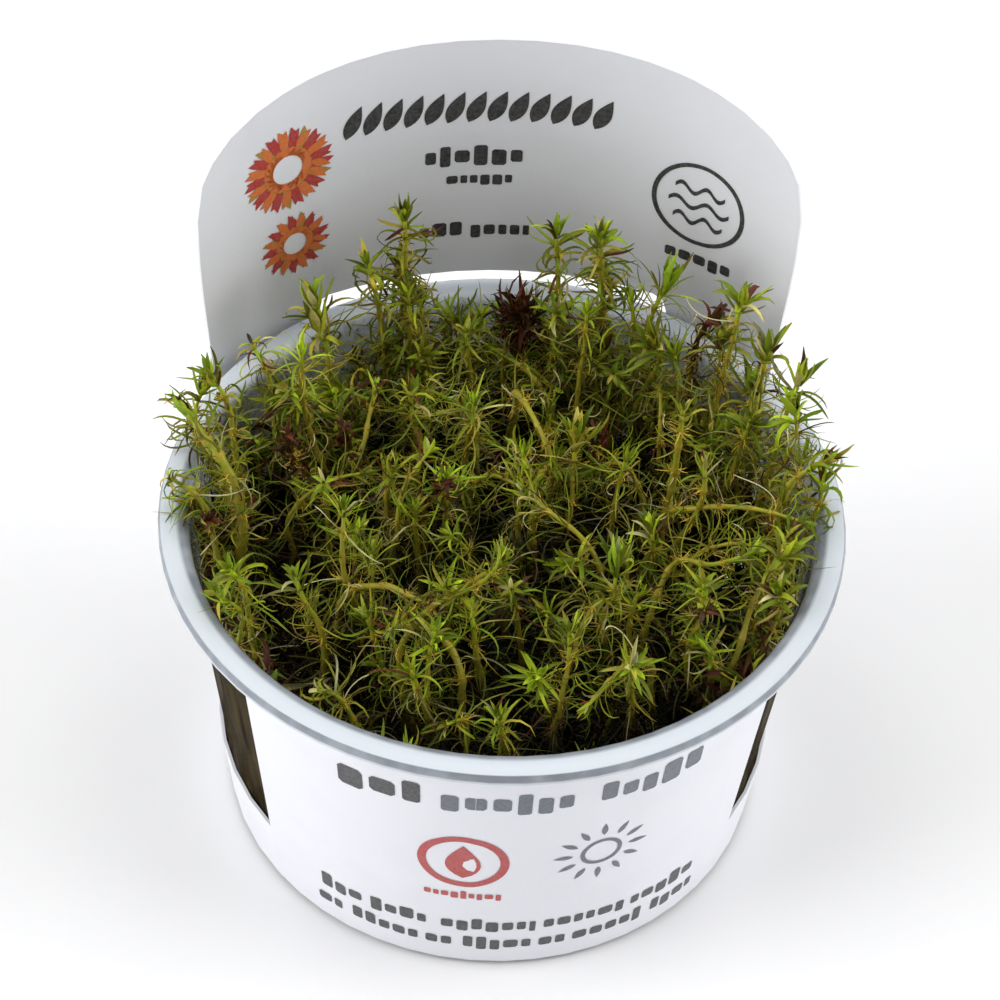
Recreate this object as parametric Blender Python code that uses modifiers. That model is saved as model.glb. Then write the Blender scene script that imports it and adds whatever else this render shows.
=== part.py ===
"""Rotala grown in a clear tissue culture cup that a printed card sleeve wraps.

The row frame is centred on the underside of the cup, with +Z up and +Y toward the
panel at the back. Sizes below are in millimetres and are turned into metres when used.
"""
import math
import random

import bmesh
import bpy
from mathutils import Matrix, Vector

MM = 0.001
FIT_GAP = 0.3

# The cup, a wall of revolution with a wide flange round its mouth
CUP_HEIGHT = 56.0
FLANGE_RADIUS = 50.0
MOUTH_RADIUS = 47.2
SKIRT_DEPTH = 2.0
FLANGE_SHEET = 0.9
WALL_THICKNESS = 0.7
WALL_RADIUS_TOP = 46.3
WALL_RADIUS_BASE = 40.3
FLOOR_THICKNESS = 1.2
CUP_SEGMENTS = 64

# The card sleeve, with heights given from the top of the flange
CARD_THICKNESS = 0.45
CARD_YAW = math.radians(4.6)
CARD_BOTTOM = -55.0
BAND_TOP = -42.5
LABEL_TOP = -1.4
STRIP_HEIGHT = 1.1
STRIP_REACH = 0.45
LABEL_HALF_ANGLE = math.radians(54.0)
LABEL_CORNER_RADIUS = 6.0
BACK_HALF_ANGLE = math.radians(60.0)
PANEL_PLAN_RADIUS = 59.5
PANEL_PLAN_CENTRE = -10.62
PANEL_HALF_WIDTH = 49.3
PANEL_WAIST = 47.4
PANEL_WAIST_HEIGHT = 4.0
PANEL_WIDEST_HEIGHT = 24.0
SHOULDER_HEIGHT = 29.0
ARCH_RISE = 18.1
SLOT_BOTTOM = -4.6
SLOT_TOP = 2.3
SLOT_HALF_WIDTH = 29.3
SLOT_CORNER_RADIUS = 2.6
BLEND_BOTTOM = -34.0

# The grid that the sleeve is cut from: its steps round, and the rows with openings
OPENING_STEPS = 8
LABEL_STEPS = 16
STRIP_ROW = 7
SLOT_ROWS = (6, 7, 8)
PANEL_SHARES = (0.25, 0.5, 0.72, 0.88, 1.0)
PANEL_EDGE_SHARES = (1.0, 0.975, 0.93, 0.86, 0.76, 0.67)
PANEL_MIDDLE_SHARES = (0.45, 0.34, 0.23, 0.11)

# The gel that the plantlets stand on
GEL_BOTTOM = FLOOR_THICKNESS + FIT_GAP
GEL_TOP = 9.0
GEL_RADIUS_BOTTOM = 38.3
GEL_RADIUS_TOP = 39.9
GEL_SEGMENTS = 40

# The plantlets, spread over the gel like the seeds of a sunflower
PLANTLET_COUNT = 44
SPREAD_RADIUS = 36.4
GOLDEN_ANGLE = math.radians(137.508)
COLUMN_RADIUS = 4.15
COLUMN_GROWTH = 1.14
WHORL_WAIST = 0.74
COLUMN_TOP = 51.5
COLUMN_SCATTER = 2.2
COLUMN_DOME = 4.5
TIER_COUNT = 9
SHOOT_STEM_RADIUS = 0.9
SHOOT_TUFT_RADIUS = 3.2
ROUTE_SEED = 7

# Tall shoots: middle and tip of each, as x, y and height above the flange
TALL_SHOOTS = (
    ((-39.5, -3.0, 6.0), (-46.5, 4.0, 13.0)),
    ((-40.0, 9.0, 7.0), (-43.2, 9.4, 15.0)),
    ((-43.0, -5.0, 2.5), (-48.0, -4.5, 7.5)),
    ((-35.5, 17.5, 5.5), (-38.0, 18.5, 12.5)),
    ((-27.5, 26.5, 6.0), (-29.5, 27.0, 13.5)),
    ((-20.0, 31.0, 8.0), (-22.0, 31.0, 18.5)),
    ((-16.0, 35.0, 10.0), (-16.5, 34.0, 25.5)),
    ((1.0, 35.0, 5.0), (0.3, 34.0, 13.0)),
    ((6.5, 33.0, 10.0), (5.8, 33.0, 24.5)),
    ((13.0, 33.5, 9.0), (12.4, 33.0, 24.5)),
    ((20.5, 31.5, 7.0), (23.0, 32.0, 17.0)),
    ((27.5, 28.0, 7.0), (30.0, 27.5, 15.0)),
    ((32.5, 24.5, 9.0), (33.4, 24.5, 20.5)),
    ((37.0, 20.0, 6.0), (37.6, 20.5, 15.0)),
    ((40.0, 13.0, 6.0), (42.2, 15.0, 14.5)),
    ((41.0, 2.0, 4.0), (46.5, 3.0, 10.0)),
    ((24.5, 5.0, 8.0), (24.8, 5.5, 16.5)),
    ((-35.5, -20.5, 2.0), (-37.5, -21.5, 7.5)),
    ((37.5, -14.0, 3.0), (40.5, -14.0, 9.0)),
)


def wall_radius(height):
    """Outer radius of the cup's wall at a height above the underside."""
    share = height / CUP_HEIGHT
    return WALL_RADIUS_BASE + (WALL_RADIUS_TOP - WALL_RADIUS_BASE) * share


def inner_radius(height):
    """Inner radius of the cup's wall at a height above the underside."""
    return wall_radius(height) - WALL_THICKNESS


def smooth_step(value, low, high):
    """Ease from 0 at low to 1 at high."""
    share = min(1.0, max(0.0, (value - low) / (high - low)))
    return share * share * (3.0 - 2.0 * share)


def new_material(name, color, roughness, alpha=1.0):
    """A Principled material of one colour."""
    material = bpy.data.materials.new(name)
    material.use_nodes = True
    shader = material.node_tree.nodes["Principled BSDF"]
    shader.inputs["Base Color"].default_value = (*color, 1.0)
    shader.inputs["Roughness"].default_value = roughness
    shader.inputs["Metallic"].default_value = 0.0
    shader.inputs["Alpha"].default_value = alpha
    material.diffuse_color = (*color, alpha)
    return material


def add_object(name, data, collection, material):
    """Put mesh or curve data into the scene as a named part."""
    part = bpy.data.objects.new(name, data)
    collection.objects.link(part)
    data.materials.append(material)
    return part


def build_cup(collection, material):
    """Turn the cup from one closed profile, from the inner floor over the flange to the base."""
    underside = CUP_HEIGHT - FLANGE_SHEET
    skirt_foot = CUP_HEIGHT - SKIRT_DEPTH
    corner = 1.4
    edge = 0.9
    profile = (
        (0.0, FLOOR_THICKNESS),
        (inner_radius(FLOOR_THICKNESS) - corner, FLOOR_THICKNESS),
        (inner_radius(FLOOR_THICKNESS + corner), FLOOR_THICKNESS + corner),
        (inner_radius(CUP_HEIGHT - 2.2), CUP_HEIGHT - 2.2),
        (MOUTH_RADIUS - 1.45, CUP_HEIGHT - 0.95),
        (MOUTH_RADIUS - 0.85, CUP_HEIGHT - 0.3),
        (MOUTH_RADIUS, CUP_HEIGHT),
        (FLANGE_RADIUS - edge, CUP_HEIGHT),
        (FLANGE_RADIUS - edge * 0.25, CUP_HEIGHT - edge * 0.3),
        (FLANGE_RADIUS, CUP_HEIGHT - edge),
        (FLANGE_RADIUS, skirt_foot),
        (FLANGE_RADIUS - WALL_THICKNESS, skirt_foot),
        (FLANGE_RADIUS - edge, underside),
        (wall_radius(underside), underside),
        (wall_radius(corner), corner),
        (wall_radius(corner) - corner * 0.75, 0.0),
        (0.0, 0.0),
    )
    mesh = bpy.data.meshes.new("cup")
    shape = bmesh.new()
    corners = [shape.verts.new((radius * MM, 0.0, height * MM)) for radius, height in profile]
    for first, second in zip(corners, corners[1:]):
        shape.edges.new((first, second))
    shape.to_mesh(mesh)
    shape.free()
    cup = add_object("cup", mesh, collection, material)
    screw = cup.modifiers.new("turn", "SCREW")
    screw.axis = "Z"
    screw.angle = math.tau
    screw.steps = CUP_SEGMENTS
    screw.render_steps = CUP_SEGMENTS
    screw.use_merge_vertices = True
    screw.merge_threshold = 0.00001
    screw.use_smooth_shade = True
    return cup


def panel_half_width(height):
    """Half width of the back panel along its curve, narrower toward the flange."""
    share = smooth_step(height, PANEL_WAIST_HEIGHT - 12.0, PANEL_WIDEST_HEIGHT)
    return PANEL_WAIST + (PANEL_HALF_WIDTH - PANEL_WAIST) * share


def panel_top(offset):
    """Height of the panel's arched top edge at a distance from its middle."""
    share = min(1.0, abs(offset) / PANEL_HALF_WIDTH)
    return SHOULDER_HEIGHT + ARCH_RISE * (1.0 - share ** 2.6) ** 0.4


def slot_top(offset):
    """Height of the slot's top edge, rounded down at its two corners."""
    inset = SLOT_HALF_WIDTH - abs(offset)
    if inset >= SLOT_CORNER_RADIUS:
        return SLOT_TOP
    across = SLOT_CORNER_RADIUS - max(0.0, inset)
    drop = SLOT_CORNER_RADIUS - math.sqrt(SLOT_CORNER_RADIUS ** 2 - across ** 2)
    return SLOT_TOP - drop


def card_columns():
    """Angles of the sheet's columns from the back, once round, with the part each belongs to."""
    slot_share = SLOT_HALF_WIDTH / PANEL_HALF_WIDTH
    corner_share = SLOT_CORNER_RADIUS / PANEL_HALF_WIDTH
    shares = list(PANEL_EDGE_SHARES)
    shares += [slot_share, slot_share - corner_share * 0.3, slot_share - corner_share]
    shares += PANEL_MIDDLE_SHARES
    back = [-share for share in shares] + [0.0] + shares[::-1]
    columns = [("back", share * BACK_HALF_ANGLE, share) for share in back]
    opening = math.pi - LABEL_HALF_ANGLE - BACK_HALF_ANGLE
    side = []
    for i in range(1, OPENING_STEPS):
        share = i / OPENING_STEPS
        side.append((BACK_HALF_ANGLE + opening * share, 1.0 - share))
    columns += [("side", angle, share) for angle, share in side]
    for i in range(LABEL_STEPS + 1):
        share = 2.0 * i / LABEL_STEPS - 1.0
        columns.append(("label", math.pi + share * LABEL_HALF_ANGLE, share))
    columns += [("side", -angle, share) for angle, share in reversed(side)]
    return columns


def card_rows(share, kind):
    """Heights of one column's corners from the bottom edge to the top edge."""
    heights = [CARD_BOTTOM, BAND_TOP, BLEND_BOTTOM, -24.0, -16.0, -9.0]
    heights.append(SLOT_BOTTOM)
    if kind != "back":
        taper = 1.0 - share / STRIP_REACH if kind == "side" else 1.0
        return heights + [LABEL_TOP - STRIP_HEIGHT * max(0.0, taper), LABEL_TOP]
    heights.append(LABEL_TOP - STRIP_HEIGHT)
    offset = share * PANEL_HALF_WIDTH
    low = slot_top(offset)
    high = panel_top(offset)
    heights += [-FIT_GAP, low]
    for step in PANEL_SHARES:
        heights.append(low + (high - low) * step)
    return heights


def card_point(kind, angle, share, height):
    """Place one corner of the sheet: on the cup's cone, or up on the panel's flatter curve."""
    radius = wall_radius(CUP_HEIGHT + height) + FIT_GAP
    if kind == "label":
        reach = LABEL_HALF_ANGLE
        rise = height - (LABEL_TOP - STRIP_HEIGHT - LABEL_CORNER_RADIUS)
        if rise > 0.0:
            up = min(rise, LABEL_CORNER_RADIUS * 0.98)
            flare = LABEL_CORNER_RADIUS - math.sqrt(LABEL_CORNER_RADIUS ** 2 - up ** 2)
            reach += flare * 0.8 / radius
        angle = math.pi + share * reach
    on_cone = Vector((radius * math.sin(angle), radius * math.cos(angle), height))
    if kind != "back":
        return on_cone
    offset = share * panel_half_width(height)
    turn = offset / PANEL_PLAN_RADIUS
    on_panel = Vector((
        PANEL_PLAN_RADIUS * math.sin(turn),
        PANEL_PLAN_CENTRE + PANEL_PLAN_RADIUS * math.cos(turn),
        height,
    ))
    return on_cone.lerp(on_panel, smooth_step(height, BLEND_BOTTOM, SLOT_BOTTOM))


def card_cell_kept(first, second, row):
    """Say whether the sheet has card between two columns at one row of its grid."""
    if row == 0:
        return True
    kinds = (first[0], second[0])
    if "side" in kinds:
        reach = max(share for kind, _, share in (first, second) if kind == "side")
        return row == STRIP_ROW and "back" not in kinds and reach < STRIP_REACH
    if "label" in kinds:
        return row <= STRIP_ROW
    middle = abs(first[2] + second[2]) * 0.5 * PANEL_HALF_WIDTH
    return row not in SLOT_ROWS or middle > SLOT_HALF_WIDTH


def build_card_sleeve(collection, material):
    """Bend one grid round the cup, leave out its openings and give it the card's thickness."""
    columns = card_columns()
    heights = [card_rows(share, kind) for kind, _, share in columns]
    shape = bmesh.new()
    grid = {}

    def corner(column, row):
        """The grid's vertex at a column and row, made the first time it is asked for."""
        key = (column, row)
        if key not in grid:
            kind, angle, share = columns[column]
            place = card_point(kind, angle, share, heights[column][row])
            grid[key] = shape.verts.new((place.x * MM, place.y * MM, (place.z + CUP_HEIGHT) * MM))
        return grid[key]

    for column in range(len(columns)):
        following = (column + 1) % len(columns)
        shared_rows = min(len(heights[column]), len(heights[following])) - 1
        for row in range(shared_rows):
            if not card_cell_kept(columns[column], columns[following], row):
                continue
            shape.faces.new((
                corner(column, row), corner(column, row + 1),
                corner(following, row + 1), corner(following, row),
            ))
    bmesh.ops.recalc_face_normals(shape, faces=shape.faces)
    mesh = bpy.data.meshes.new("card_sleeve")
    shape.to_mesh(mesh)
    shape.free()
    sleeve = add_object("card_sleeve", mesh, collection, material)
    sleeve.rotation_euler.z = CARD_YAW
    sheet = sleeve.modifiers.new("thickness", "SOLIDIFY")
    sheet.thickness = CARD_THICKNESS * MM
    sheet.offset = 1.0
    sheet.use_even_offset = True
    return sleeve


def build_gel(collection, material):
    """Pour the gel as one low tapered disc on the floor of the cup."""
    shape = bmesh.new()
    depth = GEL_TOP - GEL_BOTTOM
    bmesh.ops.create_cone(
        shape,
        cap_ends=True,
        segments=GEL_SEGMENTS,
        radius1=GEL_RADIUS_BOTTOM * MM,
        radius2=GEL_RADIUS_TOP * MM,
        depth=depth * MM,
        matrix=Matrix.Translation((0.0, 0.0, (GEL_BOTTOM + depth * 0.5) * MM)),
    )
    mesh = bpy.data.meshes.new("nutrient_gel")
    shape.to_mesh(mesh)
    shape.free()
    return add_object("nutrient_gel", mesh, collection, material)


def plantlet_feet():
    """Where each plantlet stands, as its place in a packing of even density."""
    feet = []
    for i in range(PLANTLET_COUNT):
        radius = SPREAD_RADIUS * math.sqrt((i + 0.4) / (PLANTLET_COUNT - 0.6))
        angle = i * GOLDEN_ANGLE
        feet.append(Vector((radius * math.cos(angle), radius * math.sin(angle), 0.0)))
    return feet


def column_place(foot, height):
    """Where a plantlet that stands at foot passes a height, as the cup widens upward."""
    spread = inner_radius(height) / inner_radius(GEL_TOP)
    sway = math.radians(5.0) * math.sin((height - GEL_TOP) * 0.07)
    place = Matrix.Rotation(sway, 3, "Z") @ (foot * spread)
    place.z = height
    return place


def tall_shoot_owners(feet):
    """Give each tall shoot the free plantlet that comes up nearest to its middle."""
    owners = {}
    for middle, tip in TALL_SHOOTS:
        goal = Vector((middle[0], middle[1], 0.0))
        free = [i for i in range(PLANTLET_COUNT) if i not in owners]
        nearest = min(free, key=lambda i: (column_place(feet[i], CUP_HEIGHT).xy - goal.xy).length)
        owners[nearest] = (Vector(middle), Vector(tip))
    return owners


def plantlet_route(foot, top, tall):
    """The route of a plantlet and its radius along it, as points from the gel to the tip."""
    start = GEL_TOP + FIT_GAP
    route = []
    for tier in range(TIER_COUNT):
        share = tier / (TIER_COUNT - 1)
        place = column_place(foot, start + (top - start) * share)
        radius = COLUMN_RADIUS * (1.0 + (COLUMN_GROWTH - 1.0) * share)
        if tier % 2 == 0:
            radius *= WHORL_WAIST
        if tier == 0:
            radius = SHOOT_STEM_RADIUS
        route.append((place, radius))
    if tall is None:
        route[-1] = (route[-1][0], COLUMN_RADIUS * 0.85)
        route.append((column_place(foot, top + 3.2), 0.7))
        return route
    middle, tip = tall
    lift = Vector((0.0, 0.0, CUP_HEIGHT))
    route[-1] = (route[-1][0], SHOOT_STEM_RADIUS)
    route.append((middle + lift, SHOOT_STEM_RADIUS))
    along = tip - middle
    route.append((middle + along * 0.45 + lift, SHOOT_TUFT_RADIUS * 0.75))
    route.append((middle + along * 0.75 + lift, SHOOT_TUFT_RADIUS))
    route.append((tip + lift, 0.6))
    return route


def build_plantlet(name, route, collection, material):
    """Draw one plantlet as a tube that swells at each tier of leaves."""
    curve = bpy.data.curves.new(name, "CURVE")
    curve.dimensions = "3D"
    curve.bevel_depth = MM
    curve.bevel_resolution = 1
    curve.use_fill_caps = True
    curve.twist_mode = "Z_UP"
    line = curve.splines.new("POLY")
    line.points.add(len(route) - 1)
    for point, (place, radius) in zip(line.points, route):
        point.co = (place.x * MM, place.y * MM, place.z * MM, 1.0)
        point.radius = radius
    return add_object(name, curve, collection, material)


def build_plantlets(collection, materials):
    """Stand every plantlet on the gel, with a height of its own."""
    seed = random.Random(ROUTE_SEED)
    feet = plantlet_feet()
    owners = tall_shoot_owners(feet)
    for i, foot in enumerate(feet):
        inward = 1.0 - (foot.length / SPREAD_RADIUS) ** 2
        top = COLUMN_TOP + seed.uniform(-COLUMN_SCATTER, COLUMN_SCATTER) + COLUMN_DOME * inward
        route = plantlet_route(foot, top, owners.get(i))
        build_plantlet(f"plantlet_{i + 1:02d}", route, collection, materials[i % len(materials)])


def main():
    """Clear the scene and build the cup, its sleeve, the gel and the plantlets."""
    for leftover in list(bpy.data.objects):
        bpy.data.objects.remove(leftover, do_unlink=True)
    collection = bpy.data.collections.new("rotala_cup")
    bpy.context.scene.collection.children.link(collection)
    plastic = new_material("clear_plastic", (0.86, 0.88, 0.90), 0.15, alpha=0.5)
    card = new_material("white_card", (0.86, 0.87, 0.90), 0.45)
    gel = new_material("gel", (0.72, 0.70, 0.52), 0.2, alpha=0.7)
    greens = [
        new_material("leaf_olive", (0.22, 0.26, 0.05), 0.5),
        new_material("leaf_green", (0.20, 0.34, 0.05), 0.5),
        new_material("leaf_straw", (0.36, 0.34, 0.10), 0.5),
    ]
    build_cup(collection, plastic)
    build_card_sleeve(collection, card)
    build_gel(collection, gel)
    build_plantlets(collection, greens)


main()
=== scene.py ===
"""Looks of a rotala grown in a tissue culture cup: plastic, printed card, gel and leafy stems.

The packed model is the frame, in metres. Sizes in this file are in millimetres from the
underside of the cup, unless a name says otherwise, and are turned into metres when used.
"""

import math
import random

import bmesh
import bpy
import numpy as np
from mathutils import Matrix, Vector
from mathutils.bvhtree import BVHTree


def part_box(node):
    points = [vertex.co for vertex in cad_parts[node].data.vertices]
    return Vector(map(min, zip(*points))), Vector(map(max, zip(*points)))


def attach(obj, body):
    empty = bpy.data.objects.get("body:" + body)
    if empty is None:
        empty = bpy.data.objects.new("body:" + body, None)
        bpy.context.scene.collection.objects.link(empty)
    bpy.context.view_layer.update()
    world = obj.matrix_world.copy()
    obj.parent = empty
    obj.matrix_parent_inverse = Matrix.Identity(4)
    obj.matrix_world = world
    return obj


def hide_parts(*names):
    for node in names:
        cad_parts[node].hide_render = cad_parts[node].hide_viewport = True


bl_info = {
    "name": "Rotala in a tissue culture cup",
    "version": (1, 0, 0),
    "blender": (4, 5, 0),
    "location": "3D View > Sidebar > Rotala",
    "description": "Dresses the packed cup and grows its plantlets leaf by leaf",
    "category": "Object",
}

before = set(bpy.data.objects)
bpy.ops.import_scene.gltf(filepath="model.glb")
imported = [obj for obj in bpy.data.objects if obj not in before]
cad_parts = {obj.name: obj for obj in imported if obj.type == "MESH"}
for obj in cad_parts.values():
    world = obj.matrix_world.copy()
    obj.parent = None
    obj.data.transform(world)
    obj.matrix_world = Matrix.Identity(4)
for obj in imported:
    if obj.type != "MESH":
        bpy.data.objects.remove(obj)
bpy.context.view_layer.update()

MM = 0.001
BODY = "root"

# The cup, as the frame gives it
CUP_LOW, CUP_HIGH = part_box("cup")
GEL_LOW, GEL_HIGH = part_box("nutrient_gel")
CUP_HEIGHT = CUP_HIGH.z / MM
FLANGE_RADIUS = CUP_HIGH.x / MM
GEL_TOP = GEL_HIGH.z / MM
MOUTH_RADIUS = 47.2
INNER_RADIUS_TOP = 45.6
INNER_RADIUS_BASE = 39.6
FIT_GAP = 0.3

# Shading of the solids: corners closer than this are one, and sharper edges stay sharp
WELD_DISTANCE = 0.000005
SHARP_ANGLE = math.radians(20.0)

# The card sleeve's turn on the cup, and the curve of its panel seen from above
CARD_YAW = math.radians(4.6)
PANEL_PLAN_RADIUS = 59.5
PANEL_PLAN_CENTRE = -10.62
LABEL_RADIUS = 44.5

# How the plantlets are spread over the gel and how tall they stand
PLANTLET_COUNT = 44
SPREAD_RADIUS = 36.4
GOLDEN_ANGLE = math.radians(137.508)
COLUMN_TOP = 51.5
COLUMN_SCATTER = 2.6
COLUMN_DOME = 4.5
COLUMN_CROWN = 3.2
ROUTE_SEED = 7

# Tall shoots: middle and tip of each above the flange, and the way the shoot grows
TALL_SHOOTS = (
    ((-39.5, -3.0, 6.0), (-46.5, 4.0, 13.0), "stout"),
    ((-40.0, 9.0, 7.0), (-43.2, 9.4, 15.0), "plume"),
    ((-43.0, -5.0, 2.5), (-48.0, -4.5, 7.5), "curled"),
    ((-35.5, 17.5, 5.5), (-38.0, 18.5, 12.5), "curled"),
    ((-27.5, 26.5, 6.0), (-29.5, 27.0, 13.5), "club"),
    ((-20.0, 31.0, 8.0), (-22.0, 31.0, 18.5), "plume"),
    ((-16.0, 35.0, 10.0), (-16.5, 34.0, 25.5), "plume"),
    ((1.0, 35.0, 4.0), (1.2, 34.0, 8.0), "burnt"),
    ((6.5, 33.0, 10.0), (5.8, 33.0, 24.5), "plume"),
    ((13.0, 33.5, 9.0), (12.4, 33.0, 24.5), "plume"),
    ((20.5, 31.5, 7.0), (23.0, 32.0, 17.0), "club"),
    ((27.5, 28.0, 7.0), (30.0, 27.5, 15.0), "dead"),
    ((32.5, 24.5, 9.0), (33.4, 24.5, 20.5), "bud"),
    ((37.0, 20.0, 6.0), (37.6, 20.5, 15.0), "bud"),
    ((40.0, 13.0, 6.0), (42.2, 15.0, 14.5), "bud"),
    ((41.0, 2.0, 4.0), (46.5, 3.0, 10.0), "plume"),
    ((24.5, 5.0, 8.0), (24.8, 5.5, 16.5), "bare"),
    ((-35.5, -20.5, 2.0), (-37.5, -21.5, 7.5), "star"),
    ((37.5, -14.0, 3.0), (40.5, -14.0, 9.0), "plume"),
)

# Shoots that lie or arch over the others, as points above the flange, and how they grow
SURFACE_SHOOTS = (
    (((-14.0, -26.0, -6.0), (-11.0, -23.0, 1.0), (-3.0, -19.5, 4.0), (0.5, -17.5, 7.5)), "open"),
    (((-21.0, -14.0, -6.0), (-22.0, -12.5, 2.0), (-22.5, -8.5, 8.0)), "open"),
    (((-25.0, -22.0, -6.0), (-27.0, -21.0, 0.5), (-28.5, -20.0, 5.0)), "star"),
    (((-9.0, -31.0, -8.0), (-9.0, -29.0, -1.0), (-8.5, -27.5, 3.5)), "star"),
    (((9.0, -31.0, -8.0), (10.0, -29.0, -1.0), (10.0, -27.0, 4.5)), "open"),
    (((15.0, -18.0, -6.0), (16.0, -17.0, 1.0), (16.5, -15.0, 6.5)), "club"),
    (((28.0, -20.0, -7.0), (28.5, -19.0, 0.0), (28.5, -18.0, 5.5)), "star"),
    (((1.0, 22.0, -4.0), (0.5, 18.0, 5.0), (4.0, 12.0, 6.0), (8.0, 6.0, 2.0)), "bare"),
    (((-6.0, 14.0, -4.0), (-5.5, 13.0, 3.0), (-5.0, 12.5, 9.0)), "open"),
    (((-8.0, 0.0, -5.0), (-8.5, -0.5, 2.0), (-8.5, -1.0, 7.0)), "open"),
    (((3.0, 1.0, -5.0), (2.5, 2.0, 2.5), (2.5, 3.0, 8.5)), "open"),
    (((10.0, 5.0, -5.0), (10.0, 6.0, 2.5), (10.0, 7.0, 8.0)), "club"),
    (((17.0, 3.0, -5.0), (17.0, 4.0, 2.0), (17.5, 5.0, 7.0)), "open"),
    (((-17.0, 2.0, -5.0), (-16.5, 1.0, 2.0), (-16.0, 0.5, 6.5)), "open"),
    (((-13.0, 12.0, -5.0), (-14.0, 14.0, 2.5), (-14.5, 15.0, 8.0)), "open"),
    (((34.0, -22.0, -8.0), (36.0, -18.0, -1.0), (38.5, -12.0, 1.5), (41.5, -5.0, 4.0)), "bare"),
    (((24.0, 4.0, -6.0), (28.0, -0.5, 2.0), (36.0, -2.0, 4.0), (43.5, -3.5, 3.5)), "bare"),
    (((22.0, -14.0, -6.0), (25.0, -12.0, 2.0), (30.0, -13.5, 4.0), (36.0, -12.0, 6.0)), "star"),
    (((-30.0, 8.0, -6.0), (-31.0, 6.5, 1.0), (-31.5, 5.5, 6.0)), "dead"),
    (((-22.0, 10.0, -6.0), (-23.5, 9.0, 1.0), (-23.7, 8.5, 5.0)), "dead"),
    (((-43.0, -3.0, -8.0), (-43.0, -5.0, -1.0), (-42.5, -6.5, 1.0)), "dead"),
    (((27.0, -17.0, -6.0), (28.0, -19.0, 0.0), (28.5, -21.0, 3.0)), "dead"),
    (((14.0, 14.0, -6.0), (13.5, 12.0, 1.0), (13.0, 11.0, 5.0)), "dead"),
    (((-12.0, 0.0, -6.0), (-11.0, 0.0, 1.0), (-9.0, -1.0, 5.0)), "dead"),
    (((-27.0, 13.0, -6.0), (-30.0, 14.0, 6.0), (-30.5, 14.0, 16.0)), "open"),
    (((-12.0, 30.0, -8.0), (-13.0, 32.0, 2.0), (-14.0, 32.5, 11.0)), "open"),
    (((-5.0, 28.0, -8.0), (-6.0, 28.5, 0.0), (-7.0, 28.5, 8.0)), "star"),
    (((10.0, 26.0, -8.0), (10.5, 27.5, 4.0), (11.0, 28.0, 14.0)), "open"),
    (((18.0, 29.0, -8.0), (18.5, 30.5, 4.0), (17.5, 31.0, 14.0)), "open"),
    (((33.0, 14.0, -8.0), (35.0, 14.5, 0.0), (36.0, 14.0, 7.0)), "star"),
    (((40.0, 6.0, -9.0), (42.0, 7.0, 0.0), (43.5, 7.5, 6.5)), "open"),
    (((39.0, -6.0, -9.0), (41.0, -6.5, -1.0), (41.5, -7.0, 3.5)), "open"),
)

# Ways a shoot grows. tip and leaf: length, width, spread from the stem and curl, the last
# two in radians. gap: between whorls. stem: how stout. fresh, dead: how green and how dead.
# dark: how much painted shade darkens its leaves with depth.
HABITS = {
    "open": dict(
        tip=(2.8, 0.50, 0.38, -0.3), leaf=(8.0, 0.22, 1.00, -1.0),
        gap=3.6, count=10, stem=0.95, fresh=0.60, dead=0.06, dark=1.0,
    ),
    "plume": dict(
        tip=(4.2, 0.80, 0.30, -0.3), leaf=(6.2, 0.42, 0.85, -1.9),
        gap=3.0, count=8, stem=0.95, fresh=0.55, dead=0.08, dark=1.0,
    ),
    "star": dict(
        tip=(3.4, 0.70, 0.75, -0.5), leaf=(7.6, 0.26, 1.05, -1.0),
        gap=3.5, count=9, stem=1.0, fresh=1.0, dead=0.0, dark=1.0,
    ),
    "club": dict(
        tip=(5.4, 1.25, 0.16, 0.0), leaf=(7.4, 0.24, 1.00, -1.0),
        gap=3.6, count=9, stem=0.95, fresh=0.85, dead=0.0, dark=1.0,
    ),
    "bud": dict(
        tip=(5.0, 1.25, 0.30, 0.6), leaf=(6.8, 0.26, 1.00, -1.6),
        gap=3.6, count=9, stem=0.95, fresh=0.45, dead=0.12, dark=1.0,
    ),
    "curled": dict(
        tip=(3.6, 0.55, 0.70, -1.8), leaf=(7.4, 0.25, 0.90, -2.4),
        gap=3.6, count=9, stem=0.95, fresh=0.35, dead=0.14, dark=1.0,
    ),
    "stout": dict(
        tip=(4.0, 0.80, 0.70, 1.8), leaf=(6.8, 0.34, 1.05, 1.6),
        gap=3.4, count=8, stem=1.6, fresh=0.7, dead=0.08, dark=1.0,
    ),
    "bare": dict(
        tip=(2.6, 0.50, 0.60, 0.2), leaf=(5.6, 0.24, 1.10, -1.0),
        gap=4.8, count=6, stem=1.15, fresh=0.25, dead=0.15, dark=1.0,
    ),
    "dead": dict(
        tip=(4.4, 0.90, 0.50, 1.5), leaf=(4.8, 0.42, 0.85, 2.2),
        gap=2.6, count=6, stem=1.0, fresh=0.0, dead=0.93, dark=0.7,
    ),
    "burnt": dict(
        tip=(7.4, 0.62, 0.50, 0.7), leaf=(6.4, 0.50, 0.85, 0.6),
        gap=0.8, count=15, stem=1.5, fresh=0.0, dead=1.0, dark=0.3,
    ),
    "old": dict(
        tip=(4.0, 0.42, 0.90, -0.3), leaf=(8.0, 0.34, 1.00, -0.3),
        gap=3.6, count=7, stem=1.0, fresh=0.1, dead=0.25, dark=1.0,
    ),
    "pressed": dict(
        tip=(6.0, 0.90, 0.30, 0.0), leaf=(9.5, 1.05, 0.35, 0.1),
        gap=3.2, count=5, stem=1.2, fresh=0.1, dead=0.60, dark=0.35,
    ),
}

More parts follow.
